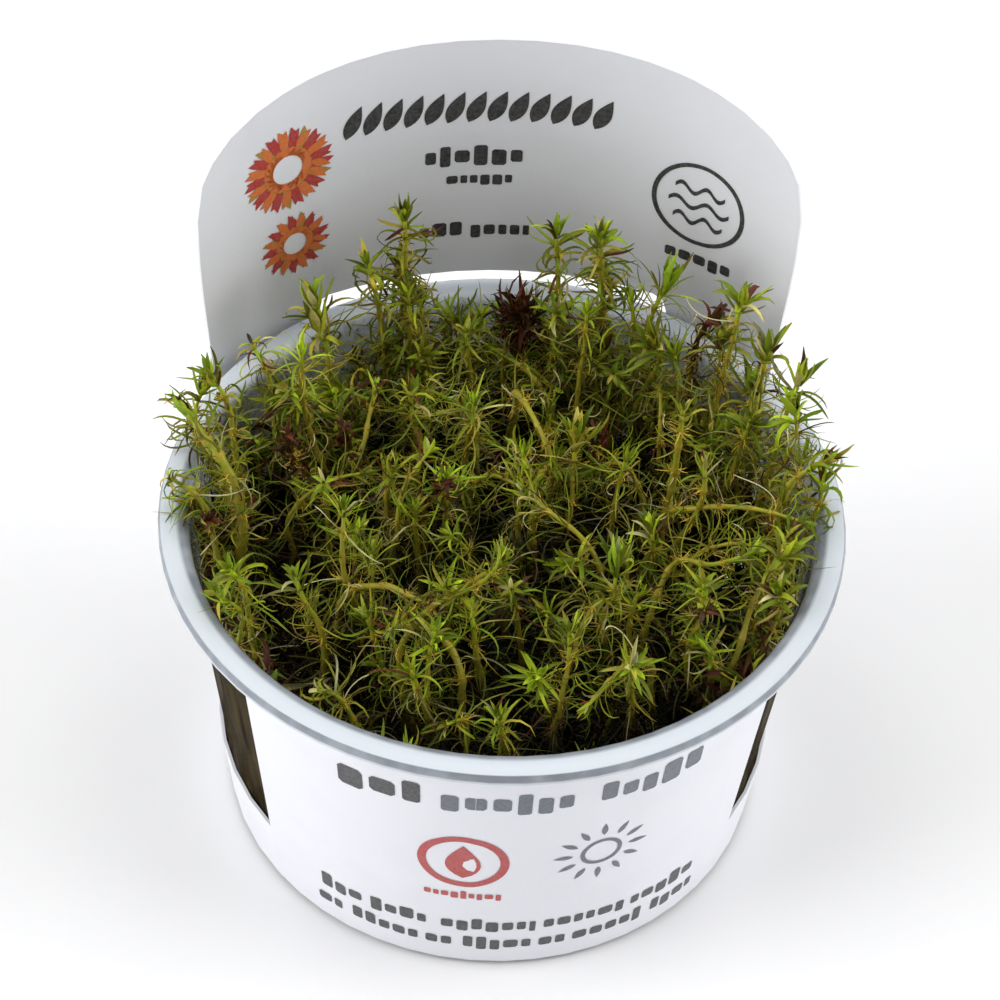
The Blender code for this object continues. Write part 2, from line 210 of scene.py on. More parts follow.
# Layers of further shoots: how many, how far out their tips are spread, the height of the
# tips at the wall and how much they scatter, the rise toward the middle, and their habits
LAYERS = (
    (22, 42.0, 48.0, 3.4, 9.0, ("open", "star", "open", "curled", "open", "plume", "bare")),
    (56, 42.5, 40.5, 3.2, 5.5, ("open", "old", "open", "curled")),
    (50, 41.5, 31.0, 4.0, 4.0, ("old",)),
)
REAR_SHOOTS = 34
REAR_SHOOT_TOPS = (49.0, 62.0)
COMPANIONS = 1
FILL_HABITS = ("open", "plume", "open", "star", "open", "curled", "plume", "bare")
WALL_SHOOTS = 84
TANGLED_SHOOTS = 20
TANGLED_REACH = (8.0, 17.0)
WALL_SHOOT_TOPS = (36.0, 51.0)
PRESSED_SIDES = 0.72

# How far under the top of the growth painted shade begins to darken the leaves and bristles, and over what depth
SHADE_START = 2.2
SHADE_DEPTH = 7.8
CROWN_EDGE = 49.0
CROWN_RISE = 8.0
LEAF_REACH = 51.6

def linear(text):
    """Turn an sRGB hex colour into the linear values that Blender's sockets take."""
    values = []
    for i in (1, 3, 5):
        channel = int(text[i:i + 2], 16) / 255.0
        if channel <= 0.04045:
            values.append(channel / 12.92)
        else:
            values.append(((channel + 0.055) / 1.055) ** 2.4)
    return tuple(values)


def color_property(name, text, hex_value):
    """A colour that a user may change."""
    return bpy.props.FloatVectorProperty(
        name=name, description=text, subtype="COLOR", size=3, min=0.0, max=1.0,
        default=linear(hex_value),
    )


class RotalaCupSettings(bpy.types.PropertyGroup):
    """The clear plastic and the water that has condensed on it."""

    plastic_color: color_property("Plastic", "Tint of the moulded plastic", "#DAE1E8")
    # Painted shade on the inner lip and a painted dark reflection on the flange's outer edge.
    painted_rim_shade_color: color_property("Edges", "The plastic where it is seen edge on", "#868C95")
    # The side fog's tint, darkened with painted shade.
    shaded_mist_color: color_property("Side mist", "Fog on the wall at the sides, with plants behind", "#767B6C")
    # Colours of a painted refraction of the plants, dark with painted shade.
    painted_strand_dark: color_property("Dark strands", "Plants bent into view by the wall", "#150E0B")
    painted_strand_light: color_property("Light strands", "Paler plants bent into view", "#4A4029")
    wall_clarity: bpy.props.FloatProperty(
        name="Wall clarity", description="Light that the thin wall lets through",
        default=0.996, min=0.0, max=1.0,
    )
    wall_glint: bpy.props.FloatProperty(
        name="Wall glint", description="Share of light that the clear wall mirrors where seen aslant",
        default=0.03, min=0.0, max=1.0,
    )
    flange_clarity: bpy.props.FloatProperty(
        name="Flange clarity", description="Light that the thicker flange lets through",
        default=0.12, min=0.0, max=1.0,
    )
    fog: bpy.props.FloatProperty(
        name="Fog", description="How far the fog on the rear wall hides what is behind",
        default=0.92, min=0.0, max=1.0,
    )
    droplet_count: bpy.props.IntProperty(
        name="Droplets", description="Drops of condensation inside the wall", default=700, min=0,
    )
    droplet_size: bpy.props.FloatProperty(
        name="Droplet size", description="Largest radius of a drop",
        default=0.00035, min=0.0001, max=0.003, unit="LENGTH",
    )


class RotalaCardSettings(bpy.types.PropertyGroup):
    """The white card and the inks on it."""

    card_color: color_property("Card", "Coated face of the card", "#EDEEF4")
    fibre_size: bpy.props.FloatProperty(
        name="Fibre size", description="Width of the card's clumps of fibre",
        default=0.0005, min=0.0001, max=0.005, unit="LENGTH",
    )
    ink_lift: bpy.props.FloatProperty(
        name="Ink lift", description="Height of the printed film over the card",
        default=0.00006, min=0.00001, max=0.0005, unit="LENGTH",
    )
    dark_ink: color_property("Dark ink", "Heading and sign on the panel", "#2C2A2E")
    grey_ink: color_property("Grey ink", "Marks on the front label", "#5D636C")
    red_ink: color_property("Red ink", "Round sign and the reddest leaves", "#B3322E")
    orange_ink: color_property("Orange ink", "Lighter leaves of the wreath", "#D9702C")
    ochre_ink: color_property("Ochre ink", "Stems of the wreath", "#B3862F")


class RotalaPlantSettings(bpy.types.PropertyGroup):
    """The leafy stems."""

    leaf_width: bpy.props.FloatProperty(
        name="Leaf width", description="Factor on the width of every leaf", default=1.0,
        min=0.3, max=3.0,
    )
    stem_radius: bpy.props.FloatProperty(
        name="Stem radius", description="Radius of a full grown stem",
        default=0.00047, min=0.0001, max=0.003, unit="LENGTH",
    )
    seed: bpy.props.IntProperty(name="Seed", description="Start of the random growth", default=11)
    fresh_color: color_property("Fresh", "Young leaves at the tips", "#B2CC2C")
    olive_color: color_property("Olive", "Grown leaves", "#8E9026")
    grass_color: color_property("Grass", "Leaves that are a purer green", "#5E861C")
    # The deep colour is painted shade, partly the darker green of old leaves: it is mixed in by depth under the top of
    # the growth.
    deep_color: color_property("Deep", "Old leaves low in the cup", "#0B1304")
    straw_color: color_property("Straw", "Stems and fading leaves", "#B8A23C")
    pale_color: color_property("Pale", "Long thin roots and bleached leaves", "#D2CBA0")
    ochre_color: color_property("Ochre", "Knots of the stems and their rootlets", "#BA9A38")
    brown_color: color_property("Brown", "Dry leaves and roots", "#4A3518")
    maroon_color: color_property("Maroon", "Dead leaves that turned red", "#5E281B")


class RotalaStageSettings(bpy.types.PropertyGroup):
    """Floor, light and camera."""

    floor_color: color_property("Floor", "Matt white board", "#F7F7F8")
    key_power: bpy.props.FloatProperty(
        name="Top light", description="Power of the large lamp overhead", default=5.0,
        min=0.0, unit="POWER",
    )
    left_power: bpy.props.FloatProperty(
        name="Left light", description="Power of the lamp at the left", default=7.5,
        min=0.0, unit="POWER",
    )
    right_power: bpy.props.FloatProperty(
        name="Right light", description="Power of the lamp at the right", default=6.3,
        min=0.0, unit="POWER",
    )
    world_strength: bpy.props.FloatProperty(
        name="Surroundings", description="Light that comes from all round", default=0.28, min=0.0,
    )


SETTINGS = (
    ("rotala_cup", RotalaCupSettings),
    ("rotala_card", RotalaCardSettings),
    ("rotala_plant", RotalaPlantSettings),
    ("rotala_stage", RotalaStageSettings),
)


def add_node(tree, kind, settings=None, links=None):
    """Add one shader node, set its fields and sockets, and link its inputs."""
    node = tree.nodes.new(kind)
    for key, value in (settings or {}).items():
        if isinstance(key, int) or key in node.inputs:
            node.inputs[key].default_value = value
        else:
            setattr(node, key, value)
    for key, socket in (links or {}).items():
        tree.links.new(socket, node.inputs[key])
    return node


def new_surface(name, color, **sockets):
    """A material with one Principled shader, returned with its node tree and shader."""
    material = bpy.data.materials.new(name)
    material.use_nodes = True
    tree = material.node_tree
    shader = tree.nodes["Principled BSDF"]
    shader.inputs["Base Color"].default_value = (*color, 1.0)
    for key, value in sockets.items():
        shader.inputs[key.replace("_", " ").title().replace("Ior", "IOR")].default_value = value
    material.diffuse_color = (*color, 1.0)
    return material, tree, shader


def object_space(tree):
    """The row frame's own coordinates, in metres."""
    return add_node(tree, "ShaderNodeTexCoord").outputs["Object"]


def noise_at(tree, size, detail=3.0):
    """Noise whose lumps are about size metres across."""
    return add_node(
        tree, "ShaderNodeTexNoise", {"Scale": 1.0 / size, "Detail": detail},
        {"Vector": object_space(tree)},
    ).outputs["Fac"]


def add_bump(tree, shader, height, distance, strength=1.0):
    """Raise the surface by distance metres where height is 1."""
    bump = add_node(
        tree, "ShaderNodeBump", {"Strength": strength, "Distance": distance}, {"Height": height},
    )
    tree.links.new(bump.outputs["Normal"], shader.inputs["Normal"])


def blend_colors(tree, factor, low, high):
    """A colour that goes from low to high with factor."""
    ramp = add_node(tree, "ShaderNodeValToRGB", links={"Fac": factor})
    ramp.color_ramp.elements[0].color = (*low, 1.0)
    ramp.color_ramp.elements[1].color = (*high, 1.0)
    ramp.color_ramp.elements[0].position = 0.3
    ramp.color_ramp.elements[1].position = 0.7
    return ramp.outputs["Color"]


def fade(tree, value, low, high, start=0.0, end=1.0):
    """A value that goes from start to end while another goes from low to high."""
    return add_node(
        tree, "ShaderNodeMapRange",
        {"From Min": low, "From Max": high, "To Min": start, "To Max": end}, {"Value": value},
    ).outputs["Result"]


def combine(tree, operation, first, second):
    """Two values put together."""
    return add_node(tree, "ShaderNodeMath", {"operation": operation}, {0: first, 1: second}).outputs[0]


def moulded_polypropylene(settings):
    """Injection moulded polypropylene: clear where thin, milky in the flange, fogged at the back."""
    material, tree, shader = new_surface(
        "moulded_polypropylene", settings.plastic_color, roughness=0.26, ior=1.49, specular_ior_level=0.4,
    )
    place = object_space(tree)
    split = add_node(tree, "ShaderNodeSeparateXYZ", links={"Vector": place})
    flat = add_node(tree, "ShaderNodeVectorMath", {"operation": "MULTIPLY", 1: (1.0, 1.0, 0.0)}, {0: place})
    radius = add_node(
        tree, "ShaderNodeVectorMath", {"operation": "LENGTH"}, {0: flat.outputs["Vector"]},
    ).outputs["Value"]
    upper = fade(tree, split.outputs["Z"], (CUP_HEIGHT - 2.2) * MM, (CUP_HEIGHT - 0.6) * MM)
    outer = fade(tree, radius, (MOUTH_RADIUS - 0.2) * MM, (MOUTH_RADIUS + 0.1) * MM)
    milky = combine(tree, "MAXIMUM", upper, outer)
    patch = fade(tree, noise_at(tree, 0.010, 2.0), 0.3, 0.7, -0.008, 0.008)
    level = combine(tree, "ADD", split.outputs["Z"], patch)
    high = fade(tree, level, (CUP_HEIGHT - 30.0) * MM, (CUP_HEIGHT - 14.0) * MM)
    rear = fade(tree, combine(tree, "ADD", split.outputs["Y"], patch), -0.012, 0.010)
    beads = fade(tree, noise_at(tree, 0.0009, 2.0), 0.35, 0.6, settings.fog * 0.6, settings.fog)
    fogged = combine(tree, "MULTIPLY", combine(tree, "MULTIPLY", high, rear), beads)
    thick = fade(tree, milky, 0.0, 1.0, 1.0 - settings.wall_clarity, 1.0 - settings.flange_clarity)
    body = combine(tree, "MAXIMUM", thick, fogged)

    # Painted shade on the inner lip at the front, where the wall stands in shade with dark plants behind it, and a
    # painted dark reflection on the rounded outer edge of the flange: both mix the plastic toward the rim shade
    # colour.
    front = fade(tree, split.outputs["Y"], 0.024, 0.006)
    lip = combine(
        tree, "MULTIPLY", front, fade(tree, radius, (MOUTH_RADIUS + 0.3) * MM, (MOUTH_RADIUS - 0.3) * MM),
    )
    corner = fade(tree, split.outputs["Z"], (CUP_HEIGHT - 1.7) * MM, (CUP_HEIGHT - 1.4) * MM)
    edge = combine(
        tree, "MULTIPLY", corner, fade(tree, radius, (FLANGE_RADIUS - 0.4) * MM, (FLANGE_RADIUS - 0.25) * MM),
    )
    shaded = combine(tree, "MULTIPLY", combine(tree, "MAXIMUM", lip, edge), milky)
    streaks = fade(tree, noise_at(tree, 0.004, 2.0), 0.35, 0.65, 0.75, 1.0)
    color = add_node(
        tree, "ShaderNodeMixRGB",
        {"Color1": (*settings.plastic_color, 1.0), "Color2": (*settings.painted_rim_shade_color, 1.0)},
        {"Fac": combine(tree, "MULTIPLY", shaded, streaks)},
    )
    # Fog on the side walls, tinted by the plants behind it and darkened with painted shade.
    side = fade(tree, add_node(
        tree, "ShaderNodeMath", {"operation": "ABSOLUTE"}, {0: split.outputs["X"]},
    ).outputs[0], 0.026, 0.040)
    low = fade(tree, milky, 1.0, 0.0)
    misted = add_node(
        tree, "ShaderNodeMixRGB", {"Color2": (*settings.shaded_mist_color, 1.0)},
        {"Fac": combine(tree, "MULTIPLY", side, low), "Color1": color.outputs["Color"]},
    )
    tree.links.new(misted.outputs["Color"], shader.inputs["Base Color"])
    add_bump(tree, shader, noise_at(tree, 0.0025, 1.0), 0.00003)

    # Where the front wall is seen aslant, a diffuse sheet of dark and light strands stands in for the plants that the
    # wall bends into view: a painted refraction, dark with painted shade.
    slant = add_node(tree, "ShaderNodeLayerWeight", {"Blend": 0.5}).outputs["Facing"]
    through = add_node(tree, "ShaderNodeBsdfTransparent", {"Color": (0.97, 0.98, 0.98, 1.0)})
    drawn = add_node(tree, "ShaderNodeVectorMath", {"operation": "MULTIPLY", 1: (1.0, 1.0, 0.07)}, {0: place})
    strands = add_node(
        tree, "ShaderNodeTexNoise", {"Scale": 700.0, "Detail": 2.0}, {"Vector": drawn.outputs["Vector"]},
    ).outputs["Fac"]
    bent = add_node(
        tree, "ShaderNodeBsdfDiffuse",
        links={"Color": blend_colors(tree, strands, Vector(settings.painted_strand_dark), Vector(settings.painted_strand_light))},
    )
    seen = add_node(
        tree, "ShaderNodeMixShader",
        links={
            0: combine(tree, "MULTIPLY", fade(tree, slant, 0.62, 0.86, 0.0, 0.9), front),
            1: through.outputs["BSDF"], 2: bent.outputs["BSDF"],
        },
    )
    gloss = add_node(tree, "ShaderNodeBsdfGlossy", {"Roughness": 0.06})
    steep = add_node(tree, "ShaderNodeMath", {"operation": "POWER", 1: 4.0}, {0: slant}).outputs[0]
    clear = add_node(
        tree, "ShaderNodeMixShader",
        links={
            0: fade(tree, steep, 0.0, 1.0, 0.002, settings.wall_glint),
            1: seen.outputs["Shader"], 2: gloss.outputs["BSDF"],
        },
    )
    mixed = add_node(
        tree, "ShaderNodeMixShader",
        links={0: body, 1: clear.outputs["Shader"], 2: shader.outputs["BSDF"]},
    )
    tree.links.new(mixed.outputs["Shader"], tree.nodes["Material Output"].inputs["Surface"])
    return material


def condensed_water():
    """Drops of water: clear, with sharp bright glints."""
    material, tree, shader = new_surface(
        "condensed_water", linear("#FFFFFF"), roughness=0.02, ior=1.333, transmission_weight=1.0,
    )
    add_bump(tree, shader, noise_at(tree, 0.0008, 1.0), 0.00001)
    return material


def coated_card(settings):
    """White carton board, clay coated on both faces: smooth, with faint clumps of fibre."""
    material, tree, shader = new_surface(
        "coated_card", settings.card_color, roughness=0.42, ior=1.5,
    )
    card = Vector(settings.card_color)
    fibre = noise_at(tree, settings.fibre_size, 4.0)
    cloud = noise_at(tree, 0.012, 2.0)
    mixed = add_node(
        tree, "ShaderNodeMath", {"operation": "MULTIPLY_ADD", 1: 0.35}, {0: fibre, 2: cloud},
    )
    color = blend_colors(tree, mixed.outputs[0], card * 0.95, card)
    tree.links.new(color, shader.inputs["Base Color"])
    add_bump(tree, shader, fibre, 0.00002)
    return material


def offset_ink(name, color, fibre_size):
    """Offset ink on coated card: flat and slightly satin, thinned by the fibres under it."""
    material, tree, shader = new_surface(name, color, roughness=0.36, ior=1.5)
    ink = Vector(color)
    paper = Vector((1.0, 1.0, 1.0))
    worn = blend_colors(tree, noise_at(tree, fibre_size, 5.0), ink, ink.lerp(paper, 0.07))
    tree.links.new(worn, shader.inputs["Base Color"])
    return material


def culture_gel():
    """Set culture gel: pale amber, wet and cloudy."""
    material, tree, shader = new_surface(
        "culture_gel", linear("#C9C28E"), roughness=0.12, ior=1.34, transmission_weight=0.55,
    )
    color = blend_colors(tree, noise_at(tree, 0.006), linear("#B5AD74"), linear("#DAD5A8"))
    tree.links.new(color, shader.inputs["Base Color"])
    add_bump(tree, shader, noise_at(tree, 0.003, 2.0), 0.0001)
    return material


def plant_tissue(name, roughness, cell_size, relief, glow):
    """Living tissue: coloured vertex by vertex, mottled by its cells, lit through where thin."""
    material, tree, shader = new_surface(
        name, linear("#757C2A"), roughness=roughness, ior=1.42, specular_ior_level=0.3,
    )
    tint = add_node(tree, "ShaderNodeAttribute", {"attribute_name": "tint"})
    mottle = add_node(
        tree, "ShaderNodeMapRange", {"To Min": 0.7, "To Max": 1.3},
        {"Value": noise_at(tree, cell_size, 4.0)},
    )
    shade = add_node(
        tree, "ShaderNodeVectorMath", {"operation": "SCALE"},
        {0: tint.outputs["Color"], "Scale": mottle.outputs["Result"]},
    ).outputs["Vector"]
    tree.links.new(shade, shader.inputs["Base Color"])
    add_bump(tree, shader, noise_at(tree, cell_size * 0.6, 2.0), relief)
    through = add_node(tree, "ShaderNodeBsdfTranslucent", links={"Color": shade})
    mixed = add_node(
        tree, "ShaderNodeMixShader", {"Fac": glow},
        {1: shader.outputs["BSDF"], 2: through.outputs["BSDF"]},
    )
    tree.links.new(mixed.outputs["Shader"], tree.nodes["Material Output"].inputs["Surface"])
    return material


def matt_board(settings):
    """A painted matt board under soft light: even, with hardly any grain."""
    material, tree, shader = new_surface("matt_board", settings.floor_color, roughness=0.9)
    white = Vector(settings.floor_color)
    color = blend_colors(tree, noise_at(tree, 0.03), white * 0.99, white)
    tree.links.new(color, shader.inputs["Base Color"])
    return material


def inner_radius(height):
    """Inner radius of the cup's wall at a height above the underside."""
    return INNER_RADIUS_BASE + (INNER_RADIUS_TOP - INNER_RADIUS_BASE) * height / CUP_HEIGHT


def add_mesh(name, points, faces, materials, slots=None, tints=None, smooth=True):
    """Make one piece from arrays of points, in millimetres, and of four-cornered faces."""
    mesh = bpy.data.meshes.new(name)
    points = np.asarray(points, dtype=np.float32) * MM
    faces = np.asarray(faces, dtype=np.int32)
    mesh.vertices.add(len(points))
    mesh.vertices.foreach_set("co", points.ravel())
    mesh.loops.add(faces.size)
    mesh.loops.foreach_set("vertex_index", faces.ravel())
    mesh.polygons.add(len(faces))
    mesh.polygons.foreach_set("loop_start", np.arange(len(faces), dtype=np.int32) * faces.shape[1])
    for material in materials:
        mesh.materials.append(material)
    if slots is not None:
        mesh.polygons.foreach_set("material_index", np.asarray(slots, dtype=np.int32))
    mesh.polygons.foreach_set("use_smooth", np.full(len(faces), smooth))
    if tints is not None:
        layer = mesh.color_attributes.new("tint", "FLOAT_COLOR", "POINT")
        colors = np.ones((len(points), 4), dtype=np.float32)
        colors[:, :3] = tints
        layer.data.foreach_set("color", colors.ravel())
    mesh.update(calc_edges=True)
    mesh.validate()
    piece = bpy.data.objects.new(name, mesh)
    bpy.context.scene.collection.objects.link(piece)
    return piece


def smooth_copy(name, material):
    """Take a node's place with its own faces, shaded as the round surface that they stand for."""
    shape = bmesh.new()
    shape.from_mesh(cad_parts[name].data)
    bmesh.ops.remove_doubles(shape, verts=shape.verts, dist=WELD_DISTANCE)
    mesh = bpy.data.meshes.new(f"{name}_smooth")
    shape.to_mesh(mesh)
    shape.free()
    mesh.shade_smooth()
    mesh.set_sharp_from_angle(angle=SHARP_ANGLE)
    mesh.materials.clear()
    mesh.materials.append(material)
    piece = bpy.data.objects.new(mesh.name, mesh)
    bpy.context.scene.collection.objects.link(piece)
    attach(piece, BODY)
    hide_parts(name)
    return piece


def under_crown(points, start, fall):
    """How deep points lie under the top of the growth, from 0 at the top to 1."""
    radius = np.hypot(points[:, 0], points[:, 1])
    top = CROWN_EDGE + CROWN_RISE * (1.0 - np.minimum(radius / MOUTH_RADIUS, 1.0) ** 2)
    return np.clip((top - start - points[:, 2]) / fall, 0.0, 1.0)


def unit(vectors):
    """Vectors of length one."""
    lengths = np.linalg.norm(vectors, axis=-1, keepdims=True)
    return vectors / np.maximum(lengths, 1e-9)


def smooth_route(points, step):
    """Points about step apart on a smooth curve through the given ones."""
    given = np.asarray(points, dtype=float)
    padded = np.vstack([2.0 * given[0] - given[1], given, 2.0 * given[-1] - given[-2]])
    curve = []
    for i in range(1, len(padded) - 2):
        before, start, end, after = padded[i - 1:i + 3]
        count = max(2, int(np.linalg.norm(end - start) / step))
        t = (np.arange(count) / count)[:, None]
        curve.append(
            0.5 * (
                2.0 * start + (end - before) * t
                + (2.0 * before - 5.0 * start + 4.0 * end - after) * t ** 2
                + (3.0 * start - before - 3.0 * end + after) * t ** 3
            )
        )
    curve.append(given[-1:])
    return np.vstack(curve)


def carried_frames(route):
    """Along each point of a route: its direction and two directions across it, without twist."""
    along = unit(np.gradient(route, axis=0))
    across = np.empty_like(along)
    start = np.cross(along[0], (0.31, 0.95, 0.05))
    across[0] = start / np.linalg.norm(start)
    for i in range(1, len(route)):
        flat = across[i - 1] - along[i] * np.dot(across[i - 1], along[i])
        across[i] = flat / np.linalg.norm(flat)
    return along, across, np.cross(along, across)


class Growth:
    """Collects the stems and leaves of one plantlet before they become one mesh."""

    STEM_SIDES = 7
    ROOTS = 16

    def __init__(self, palette, sizes, seed):
        self.palette = palette
        self.sizes = sizes
        self.rng = np.random.default_rng(seed)
        self.points = []
        self.faces = []
        self.slots = []
        self.tints = []
        self.total = 0

    def add(self, points, faces, slot, tints):
        """Keep one batch of points and faces."""
        self.points.append(points)
        self.faces.append(faces + self.total)
        self.slots.append(np.full(len(faces), slot))
        self.tints.append(tints)
        self.total += len(points)

    def mixed(self, first, second, share):
        """Colours between two of the palette, one for each share."""
        share = np.asarray(share, dtype=float)[..., None]
        return self.palette[first] * (1.0 - share) + self.palette[second] * share

    def add_stem(self, route, radii, knots, fresh, dead):
        """A round stem along a route: greener toward the tip, darkened low down with painted shade, ochre at its
        knots.
        """
        along, across, beside = carried_frames(route)
        turn = np.arange(self.STEM_SIDES) * math.tau / self.STEM_SIDES
        ring = across[:, None] * np.cos(turn)[None, :, None] + beside[:, None] * np.sin(turn)[None, :, None]
        points = route[:, None] + ring * radii[:, None, None]
        count = len(route)
        first = np.arange(count - 1)[:, None] * self.STEM_SIDES
        here = np.arange(self.STEM_SIDES)[None, :]
        after = (here + 1) % self.STEM_SIDES
        upper = first + self.STEM_SIDES
        faces = np.stack([first + here, first + after, upper + after, upper + here], -1).reshape(-1, 4)
        share = np.linspace(0.0, 1.0, count)
        color = self.mixed("straw", "olive", np.clip(0.25 + share * 0.5 + fresh * 0.25, 0.0, 1.0))
        young = np.clip((share - 0.8) * 4.0, 0.0, 1.0)[:, None] * fresh
        color = color * (1.0 - young) + self.palette["fresh"] * young
        color = color + (self.palette["ochre"] - color) * knots[:, None] * 0.7
        # Painted shade: the stem is mixed toward a dim brown as it lies deeper under the top of the growth.
        depth = under_crown(route, 4.0, 16.0)[:, None]
        color = color * (1.0 - depth) + self.mixed("brown", "straw", np.full(count, 0.12)) * 0.3 * depth
        color = color * (1.0 - dead) + self.palette["brown"] * dead
        color = color * self.rng.uniform(0.8, 1.15)
        self.add(points.reshape(-1, 3), faces, 1, np.repeat(color, self.STEM_SIDES, axis=0))

    def add_blades(self, base, heading, upper, length, width, bends, color, outline, fade, slot=0):
        """Narrow folded blades. bends holds for each its curl, hook, sidewise bend and twist."""
        count = len(base)
        rows = len(outline)
        t = np.linspace(0.0, 1.0, rows)[None, :]
        curl, hook, lean, twist = (bends[:, k, None] for k in range(4))
        angle, sway, roll = curl * t + hook * t ** 2, lean * t, twist * t
        side = np.cross(heading, upper)
        flat = heading[:, None] * np.cos(angle)[..., None] + upper[:, None] * np.sin(angle)[..., None]
        way = flat * np.cos(sway)[..., None] + side[:, None] * np.sin(sway)[..., None]
        normal = upper[:, None] * np.cos(angle)[..., None] - heading[:, None] * np.sin(angle)[..., None]
        across = np.cross(way, normal)
        step = np.full(rows, 1.0 / (rows - 1))
        step[0] = 0.0
        centre = base[:, None] + np.cumsum(way * step[None, :, None] * length[:, None, None], axis=1)
        cos, sin = np.cos(roll)[..., None], np.sin(roll)[..., None]
        broad, facing = across * cos + normal * sin, normal * cos - across * sin
        half = np.asarray(outline)[None, :, None] * width[:, None, None] * 0.5
        points = np.stack([centre - broad * half, centre - facing * half * 0.7, centre + broad * half], 2)
        start = (np.arange(count) * rows * 3)[:, None, None]
        row = (np.arange(rows - 1) * 3)[None, :, None]
        corner = start + row + np.arange(2)[None, None, :]
        faces = np.stack([corner, corner + 1, corner + 4, corner + 3], -1).reshape(-1, 4)
        low, high = fade
        pale = np.clip(1.0 - t * 3.0, 0.0, 1.0)[..., None] * low
        worn = np.clip(t * 4.0 - 3.0, 0.0, 1.0)[..., None] * high
        shade = color[:, None] * (1.0 - pale) + self.palette["straw"] * color.mean() * 5.0 * pale
        shade = shade * (1.0 - worn) + self.palette["brown"] * worn
        self.add(points.reshape(-1, 3), faces, slot, np.repeat(shade[:, :, None], 3, axis=2).reshape(-1, 3))

    def leaf_colors(self, age, depth, dead):
        """A colour for each leaf: from fresh through olive, toward the deep colour as painted shade with depth, and
        some faded or dead.
        """
        count = len(age)
        rng = self.rng
        body = self.mixed("fresh", "olive", np.clip(age, 0.0, 1.0))
        green = (rng.random(count) < 0.4)[:, None] * 0.55
        body = body * (1.0 - green) + self.palette["grass"] * green
        # Painted shade, partly the darker green of old leaves: leaves deep under the top of the growth are mixed
        # toward the deep colour.
        body = body * (1.0 - depth[:, None]) + self.palette["deep"] * depth[:, None]
        faded = (rng.random(count) < 0.2)[:, None] * 0.75
        dry = self.mixed("straw", "pale", rng.random(count) ** 3)
        # Faded leaves, and below them dead ones, dim with the same painted shade.
        body = body * (1.0 - faded) + dry * faded * (1.0 - 0.9 * depth[:, None])
        gone = (rng.random(count) < dead)[:, None]
        dry = self.mixed("brown", "maroon", (rng.random(count) > 0.5) * 0.8) * (1.0 - 0.85 * depth[:, None])
        return np.where(gone, dry, body) * rng.uniform(0.35, 1.4, count)[:, None]

    def add_shoot(self, points, habit, vigour=1.0, leafy_from=0.0, tone=0.0):
        """One shoot: a wandering stem, whorls that crowd toward the tip, knots with bristles."""
        rng = self.rng
        rules = HABITS[habit]
        route = smooth_route(points, 0.9)
        share = np.linspace(0.0, 1.0, len(route))
        sway = np.zeros_like(route)
        for wave_size in (0.9, 0.5, 0.25):
            turn = rng.uniform(0.0, math.tau)
            wave = np.sin(share * rng.uniform(3.0, 6.0) / wave_size + rng.uniform(0.0, math.tau))
            sway += wave[:, None] * np.array([math.cos(turn), math.sin(turn), 0.0]) * wave_size * 0.8
        held = np.clip(share * 5.0, 0.0, 1.0) * np.clip((1.0 - share) * 3.0, 0.25, 1.0)
        route = route + sway * held[:, None]
        lengths = np.concatenate([[0.0], np.cumsum(np.linalg.norm(np.diff(route, axis=0), axis=1))])
        total = lengths[-1]
        along, across, beside = carried_frames(route)

        places = []
        from_tip = 0.1
        while from_tip < total * (1.0 - leafy_from):
            places.append(from_tip)
            gap = min(rules["gap"], 0.9 + 0.55 * from_tip) * rng.uniform(0.8, 1.2)
            from_tip += gap * (1.0 if from_tip < 26.0 else 1.6)
        places = np.array(places)
        knots = np.zeros(len(route))
        for place in places[places > 3.5]:
            knots = np.maximum(knots, np.exp(-((lengths - (total - place)) / 0.55) ** 2))
        radius = self.sizes["stem"] * rules["stem"] * vigour * (1.05 - 0.5 * share ** 3) * (1.0 + 0.5 * knots)
        radius[-1] *= 0.5
        self.add_stem(route, radius, knots, rules["fresh"], rules["dead"] * 0.8)

        whorl, turn = [], []
        shared = rng.normal(0.0, 1.0, (len(places), 2)) * (0.8, 1.4)
        for i, place in enumerate(places):
            full = 5.0 + (rules["count"] - 5.0) * min(1.0, place / 4.0)
            if place > 22.0:
                full = min(full, 5.0)
            count = max(2, int(round(full + rng.uniform(-1.2, 1.2))))
            phase = rng.uniform(0.0, math.tau)
            whorl += [i] * count
            turn += [phase + math.tau * j / count for j in range(count)]
        whorl = np.array(whorl)
        place = places[whorl]
        turn = np.array(turn) + rng.normal(0.0, 0.25, len(place))
        base, axis, outward, rim = self.seats(route, lengths, along, across, beside, radius, total - place, turn)
        grown = np.clip((place - 0.4) / 3.4, 0.0, 1.0)
        size, wide, spread, curl = (
            tip * (1.0 - grown) + leaf * grown for tip, leaf in zip(rules["tip"], rules["leaf"])
        )
        length = size * rng.uniform(0.7, 1.2, len(place)) * np.clip(0.6 + place * 0.35, 0.6, 1.0)
        width = wide * rng.uniform(0.85, 1.15, len(place)) * self.sizes["leaf"]
        width *= 1.15 - 0.35 * np.clip((place - 4.0) / 10.0, 0.0, 1.0)
        spread = spread * np.clip(0.35 + place * 0.5, 0.35, 1.0) + np.clip((place - 10.0) / 40.0, 0.0, 0.5)
        spread = spread + rng.normal(0.0, 0.1 + 0.2 * grown)
        heading = unit(axis * np.cos(spread)[:, None] + outward * np.sin(spread)[:, None])
        upper = unit(axis * np.sin(spread)[:, None] - outward * np.cos(spread)[:, None])
        loose = 0.15 + 0.85 * grown
        bends = np.stack([
            curl + (shared[whorl, 0] + rng.normal(0.0, 0.45, len(place))) * loose,
            (shared[whorl, 1] + rng.normal(0.0, 1.4, len(place))) * loose,
            rng.normal(0.0, 0.8, len(place)) * loose,
            rng.normal(0.0, 0.9, len(place)) * loose,
        ], 1)
